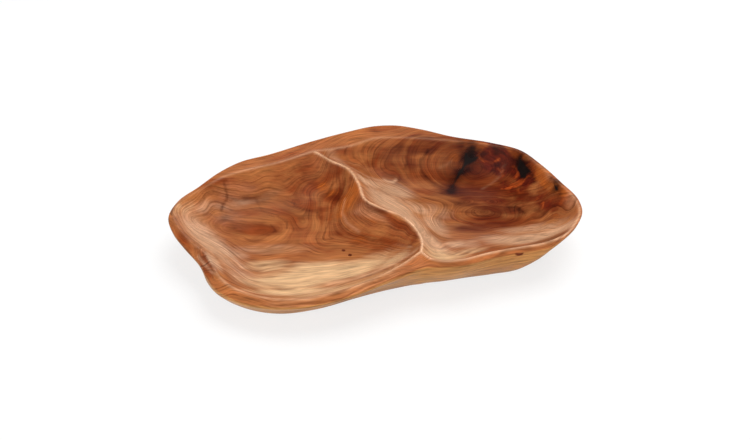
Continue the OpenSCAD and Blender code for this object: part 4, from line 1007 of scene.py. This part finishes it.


# Root wood sanded smooth and rubbed with oil. Thin dark late wood closes each ring, the rings
# darken and lighten in turn, and soft clouds cross them, so that no two places look the same. A
# greyish-pink sheen on some walls and a pale highlight along the edges and crests are painted into the
# colour.
def rootWoodRows(coreTone):
    rows = [["place", "TexCoord", {}, {}]]
    for title in ("growth", "overRim", "vein", "edge", "core", *tones["zones"]):
        rows.append([title, "Attribute", {"attribute_name": title}, {}])
    # soft fields in three dimensions, with their sizes in millimetres, longer along the bowl
    for title, sizes, detail, seed in (
            ("wander", (26, 15, 15), 2.0, 0.0), ("cloud", (62, 30, 30), 2.0, 1.7),
            ("patch", (24, 10, 10), 2.0, 5.3), ("fibre", (34, 1.5, 1.5), 2.0, 9.1)):
        rows += [
            [title + "At", "Mapping", {"Location": (seed, seed, seed), "Scale": perMetre(*sizes)},
             {"Vector": "place:Object"}],
            [title + "Noise", "TexNoise", {"Scale": 1.0, "Detail": detail}, {"Vector": title + "At"}],
            [title, "MapRange", evened, {0: title + "Noise"}],
        ]
    rows += [
        ["bent", "Math", {**scaled, 1: 0.1}, {0: "wander", 2: "growth:Fac"}],
        ["driftAt", "Math", {**scaled, 1: 0.31, 2: 71.7}, {0: "bent"}],
        ["driftNoise", "TexNoise", {"noise_dimensions": "1D", "Scale": 1.0, "Detail": 0.0},
         {"W": "driftAt"}],
        ["drift", "MapRange", {**evened, 2: 0.75}, {0: "driftNoise"}],
    ]
    # fields that run with the rings, from broad bands to lines as fine as a hair, each of them
    # broken along its way over some millimetres
    for title, rate, length, detail, seed in (
            ("band", 0.7, 60, 1.0, 3.1), ("fine", 2.6, 26, 1.5, 17.3), ("hair", 6.0, 16, 1.0, 41.9)):
        rows += [
            [title + "At", "Math", {**scaled, 1: rate, 2: seed}, {0: "bent"}],
            [title + "Along", "Mapping", {"Scale": perMetre(length, length, length)},
             {"Vector": "place:Object"}],
            [title + "Noise", "TexNoise", {"noise_dimensions": "4D", "Scale": 1.0, "Detail": detail},
             {"W": title + "At", "Vector": title + "Along"}],
            [title, "MapRange", evened, {0: title + "Noise"}],
        ]
    rows += [
        # the dark close of each ring, some strong, some faint, and broken along their way
        ["phase", "Math", {**scaled, 1: 0.8}, {0: "drift", 2: "bent"}],
        ["rise", "Math", {"operation": "FRACT"}, {0: "phase"}],
        ["count", "Math", {"operation": "FLOOR"}, {0: "phase"}],
        ["lineUp", "MapRange", {**eased, 1: 0.5, 2: 0.92}, {0: "rise"}],
        ["lineDown", "MapRange", {**eased, 1: 0.92, 2: 1.0, 3: 1.0, 4: 0.0}, {0: "rise"}],
        ["line", "Math", times, {0: "lineUp", 1: "lineDown"}],
        ["chance", "TexWhiteNoise", {"noise_dimensions": "1D"}, {"W": "count"}],
        ["strongAt", "Math", {**scaled, 1: 0.35, 2: 0.08}, {0: "patch"}],
        ["strong", "Math", {**scaled, 1: 0.8, "use_clamp": True}, {0: "chance:Value", 2: "strongAt"}],
        ["drawn", "Math", times, {0: "line", 1: "strong"}],
        # how ragged the borders between two tones are
        ["roughBand", "Math", {**times, 1: 0.16}, {0: "band"}],
        ["roughCloud", "Math", {**scaled, 1: 0.14}, {0: "cloud", 2: "roughBand"}],
        ["roughPatch", "Math", {**scaled, 1: 0.12}, {0: "patch", 2: "roughCloud"}],
        ["rough", "Math", {**scaled, 1: 0.08}, {0: "fine", 2: "roughPatch"}],
        ["warmBand", "Math", {**scaled, 1: 0.26, 2: 0.5}, {0: "band"}],
        ["warmPatch", "Math", {**scaled, 1: 0.22}, {0: "patch", 2: "warmBand"}],
        ["warmth", "Math", {**scaled, 1: 0.34, "use_clamp": True}, {0: "cloud", 2: "warmPatch"}],
        ["base", "Mix", {**laid, 6: linear(tones["light"]), 7: linear(tones["brown"])}, {0: "warmth"}],
        # burl: flames of red and orange curling round near-black bark
        ["curlAt", "Mapping",
         {"Location": (3.3, 1.1, 0.4), "Rotation": (0, 0, 0.5), "Scale": perMetre(19, 12, 19)},
         {"Vector": "place:Object"}],
        ["curl", "TexNoise", {"Scale": 1.0, "Detail": 3.0, "Distortion": 1.1}, {"Vector": "curlAt"}],
        ["curlRed", "MapRange", {**eased, 1: 0.3, 2: 0.5, 3: 0.3}, {0: "curl"}],
        ["curlFlame", "MapRange", {**eased, 1: 0.5, 2: 0.66}, {0: "curl"}],
        ["burlReddened", "Mix", {**laid, 6: linear(tones["burlDark"]), 7: linear(tones["burlRed"])},
         {0: "curlRed"}],
        ["burlTone", "Mix", {**laid, 7: linear(tones["burlFlame"])},
         {0: "curlFlame", 6: "burlReddened:2"}],
        # the rim's top is a little redder
        ["onRim", "MapRange", {**eased, 1: 0.005, 2: 0.05, 3: 0.0, 4: 0.5}, {0: "overRim:Fac"}],
        ["rimLaid", "Mix", {**laid, 7: linear(tones["rim"])}, {0: "onRim", 6: "base:2"}],
    ]
    below = "rimLaid:2"
    for title, (tone, amount, start, end, ragged) in tones["zones"].items():
        settings, links = {**laid}, {0: title + "Shown", 6: below}
        if title == "burl":
            links[7] = "burlTone:2"
        else:
            settings[7] = linear(tone)
        rows += [
            [title + "Near", "MapRange", {**eased, 1: 0.02, 2: 0.2, 4: ragged}, {0: title + ":Fac"}],
            [title + "Ragged", "Math", scaled, {0: "rough", 1: title + "Near", 2: title + ":Fac"}],
            [title + "Shown", "MapRange", {**eased, 1: start, 2: end, 3: 0.0, 4: amount},
             {0: title + "Ragged"}],
            [title + "Laid", "Mix", settings, links],
        ]
        below = title + "Laid:2"
    rows += [
        # the outer wall is sapwood below the rim's corner
        ["sapRagged", "Math", {**scaled, 1: 0.25}, {0: "rough", 2: "overRim:Fac"}],
        ["outside", "MapRange", {**eased, 1: 0.26, 2: 0.38}, {0: "sapRagged"}],
        ["sapwood", "Mix", {**laid, 6: linear(tones["outside"]), 7: linear(tones["outsideBrown"])},
         {0: "warmth"}],
        ["walled", "Mix", laid, {0: "outside", 6: below, 7: "sapwood:2"}],
        # painted highlight: a pale line along the basins' edges, the divider's crest and the spur, where
        # they catch the light
        ["wornAt", "Math", {**scaled, 1: 0.2, 2: 0.72}, {0: "patch"}],
        ["worn", "Math", {**times, "use_clamp": True}, {0: "edge:Fac", 1: "wornAt"}],
        ["edged", "Mix", {**laid, 7: linear(tones["edge"])}, {0: "worn", 6: "walled:2"}],
        # ring lines, fainter in the pale wood, under the painted sheen and on the outer wall, and the dark
        # threads
        ["quietPale", "Math", {**scaled, 1: -0.35, 2: 0.66}, {0: "paleShown"}],
        ["quietAsh", "Math", {**scaled, 1: -0.35}, {0: "ashShown", 2: "quietPale"}],
        ["quieter", "Math", {**scaled, 1: -0.3}, {0: "outside", 2: "quietAsh"}],
        ["ringShown", "Math", times, {0: "drawn", 1: "quieter"}],
        ["ringed", "Mix", {**stained, 7: linear(tones["ringTint"])}, {0: "ringShown", 6: "edged:2"}],
        ["veinAt", "Math", {**scaled, 1: 0.3, 2: 0.75}, {0: "patch"}],
        ["veinShown", "Math", {**times, "use_clamp": True}, {0: "vein:Fac", 1: "veinAt"}],
        ["veined", "Mix", {**stained, 7: linear(tones["veinTint"])}, {0: "veinShown", 6: "ringed:2"}],
        # the dead heart of a knot
        ["coreRagged", "Math", {**scaled, 1: 0.7}, {0: "patch", 2: "core:Fac"}],
        ["coreShown", "MapRange", {**eased, 1: 0.1, 2: 2.8}, {0: "coreRagged"}],
        ["cored", "Mix", {**laid, 7: linear(coreTone)}, {0: "coreShown", 6: "veined:2"}],
        # fine rings and fibres
        ["shadeFine", "Math", {**scaled, 1: 0.19, 2: 1.0}, {0: "fine"}],
        ["shadeHair", "Math", {**scaled, 1: 0.16}, {0: "hair", 2: "shadeFine"}],
        ["shadeFibre", "Math", {**scaled, 1: 0.11}, {0: "fibre", 2: "shadeHair"}],
        ["streak", "Math", {**scaled, 1: 0.7}, {0: "band", 2: "fine"}],
        ["onRimTop", "Math", {**times, 1: 0.3}, {0: "onRim"}],
        ["shadeRim", "Math", scaled, {0: "streak", 1: "onRimTop", 2: "shadeFibre"}],
        ["shade", "Math", {**scaled, 1: 0.1}, {0: "patch", 2: "shadeRim"}],
        ["grey", "CombineColor", {}, {0: "shade", 1: "shade", 2: "shade"}],
        ["colour", "Mix", {**stained, 0: 1.0}, {6: "cored:2", 7: "grey"}],
        # late wood and open fibres hold a little less sheen than the rest
        ["dull", "Math", {**scaled, 1: 0.08, 2: tones["roughness"]}, {0: "drawn"}],
        ["roughness", "Math", {**scaled, 1: 0.03}, {0: "fibre", 2: "dull"}],
        ["lowLine", "Math", {**times, 1: -0.6}, {0: "drawn"}],
        ["height", "Math", {**scaled, 1: 0.4}, {0: "fibre", 2: "lowLine"}],
        ["bump", "Bump", {"Strength": 0.25, "Distance": 0.2 * mm}, {"Height": "height"}],
        ["shader", "BsdfPrincipled", {"IOR": tones["ior"], "Specular IOR Level": tones["specular"]},
         {"Base Color": "colour:2", "Roughness": "roughness", "Normal": "bump"}],
        ["out", "OutputMaterial", {}, {"Surface": "shader"}],
    ]
    return rows


# The knots are the same wood, dead and dark: near-black at the heart, or red-brown in the three
# smallest. Each slot's wood has its name and the tone of that heart.
slotWoods = {
    slot: woven(bpy.data.materials.new(title), rootWoodRows(coreTone))
    for slot, title, coreTone in (
        ("root_wood", "oiledRootWood", "#120a08"), ("dark_knot", "deadKnotWood", "#150c0a"),
        ("red_knot", "redKnotWood", "#57220f"))}
slots = {row["node"]: row["material_slot"] for row in frame["record"]["subparts"]}
for name, piece in pieces.items():
    outline = None
    if name in knots:
        top = [knotSkin(places[name], at) for at in knotOutlines(places[name], knots[name])[0]]
        outline = fromKnot(places[name], top)
    layGrain(piece, outline)
    piece.data.materials.clear()
    piece.data.materials.append(slotWoods[slots[name]])
    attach(piece, "root")
    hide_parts(name)
print("grain laid on", len(pieces), "pieces")

studio = {
    "lamps": [
        {"name": "backPanel", "at": (0.62, 1.32, 0.68), "size": (1.1, 0.6), "power": 9},
        {"name": "topPanel", "at": (0.25, 0.25, 1.5), "size": (1.2, 1.0), "power": 19},
        {"name": "frontPanel", "at": (-0.5, -1.4, 0.8), "size": (1.4, 0.9), "power": 14},
    ],
    "airHeights": (0.1, 0.5), "airLow": 1.0, "airHigh": 0.25,
    "light": "#ffffff", "floor": "#f4f4f4", "floorReach": 3000, "plainShare": 0.75, "clipEnd": 20,
}


def aimed(piece, target):
    away = np.array(piece.location) - np.array(target)
    piece.rotation_euler = (
        math.atan2(math.hypot(away[0], away[1]), away[2]), 0, math.atan2(away[0], -away[1]))


def makeCamera():
    data = bpy.data.cameras.new("camera")
    data.lens = view["lens"]
    data.sensor_width = view["sensor"]
    data.clip_end = studio["clipEnd"]
    camera = added("camera", data)
    camera.location = eye
    camera.rotation_euler = (math.pi / 2 - lift, 0, 0)
    bpy.context.scene.camera = camera


def makeLamps():
    for row in studio["lamps"]:
        data = bpy.data.lights.new(row["name"], "AREA")
        data.shape = "RECTANGLE"
        data.size, data.size_y = row["size"]
        data.energy = row["power"]
        lamp = added(row["name"], data)
        lamp.location = row["at"]
        aimed(lamp, view["target"])


# A bright horizon that darkens upwards, so that the basins reflect a calm sky and the sides glow
def makeWorld():
    low, high = studio["airHeights"]
    fading = {**eased, 1: low, 2: high, 3: studio["airLow"], 4: studio["airHigh"]}
    bpy.context.scene.world = woven(bpy.data.worlds.new("studioAir"), [
        ["heading", "TexCoord", {}, {}],
        ["parts", "SeparateXYZ", {}, {0: "heading:Generated"}],
        ["strength", "MapRange", fading, {0: "parts:2"}],
        ["back", "Background", {"Color": linear(studio["light"])}, {"Strength": "strength"}],
        ["out", "OutputWorld", {}, {"Surface": "back"}],
    ])


# Pale paper that keeps a light shadow: what is seen of it is part lit, part plain white
def makeFloor():
    reach = studio["floorReach"]
    corners = [[-reach, -reach, 0], [reach, -reach, 0], [reach, reach, 0], [-reach, reach, 0]]
    floor = meshObject("floor", corners, [[0, 1, 2, 3]])
    larger = {"operation": "MAXIMUM"}
    floor.data.materials.append(woven(bpy.data.materials.new("palePaper"), [
        ["lit", "BsdfDiffuse", {"Color": linear(studio["floor"])}, {}],
        ["plain", "Emission", {"Color": linear(studio["light"]), "Strength": 1.0}, {}],
        ["rays", "LightPath", {}, {}],
        ["glossy", "Math", larger, {0: "rays:Is Camera Ray", 1: "rays:Is Glossy Ray"}],
        ["seen", "Math", larger, {0: "glossy", 1: "rays:Is Transmission Ray"}],
        ["share", "Math", {**times, 1: studio["plainShare"]}, {0: "seen"}],
        ["both", "MixShader", {}, {0: "share", 1: "lit", 2: "plain"}],
        ["out", "OutputMaterial", {}, {"Surface": "both"}],
    ]))


makeCamera()
makeLamps()
makeWorld()
makeFloor()
bpy.context.scene.view_settings.view_transform = "Standard"
print("studio set")
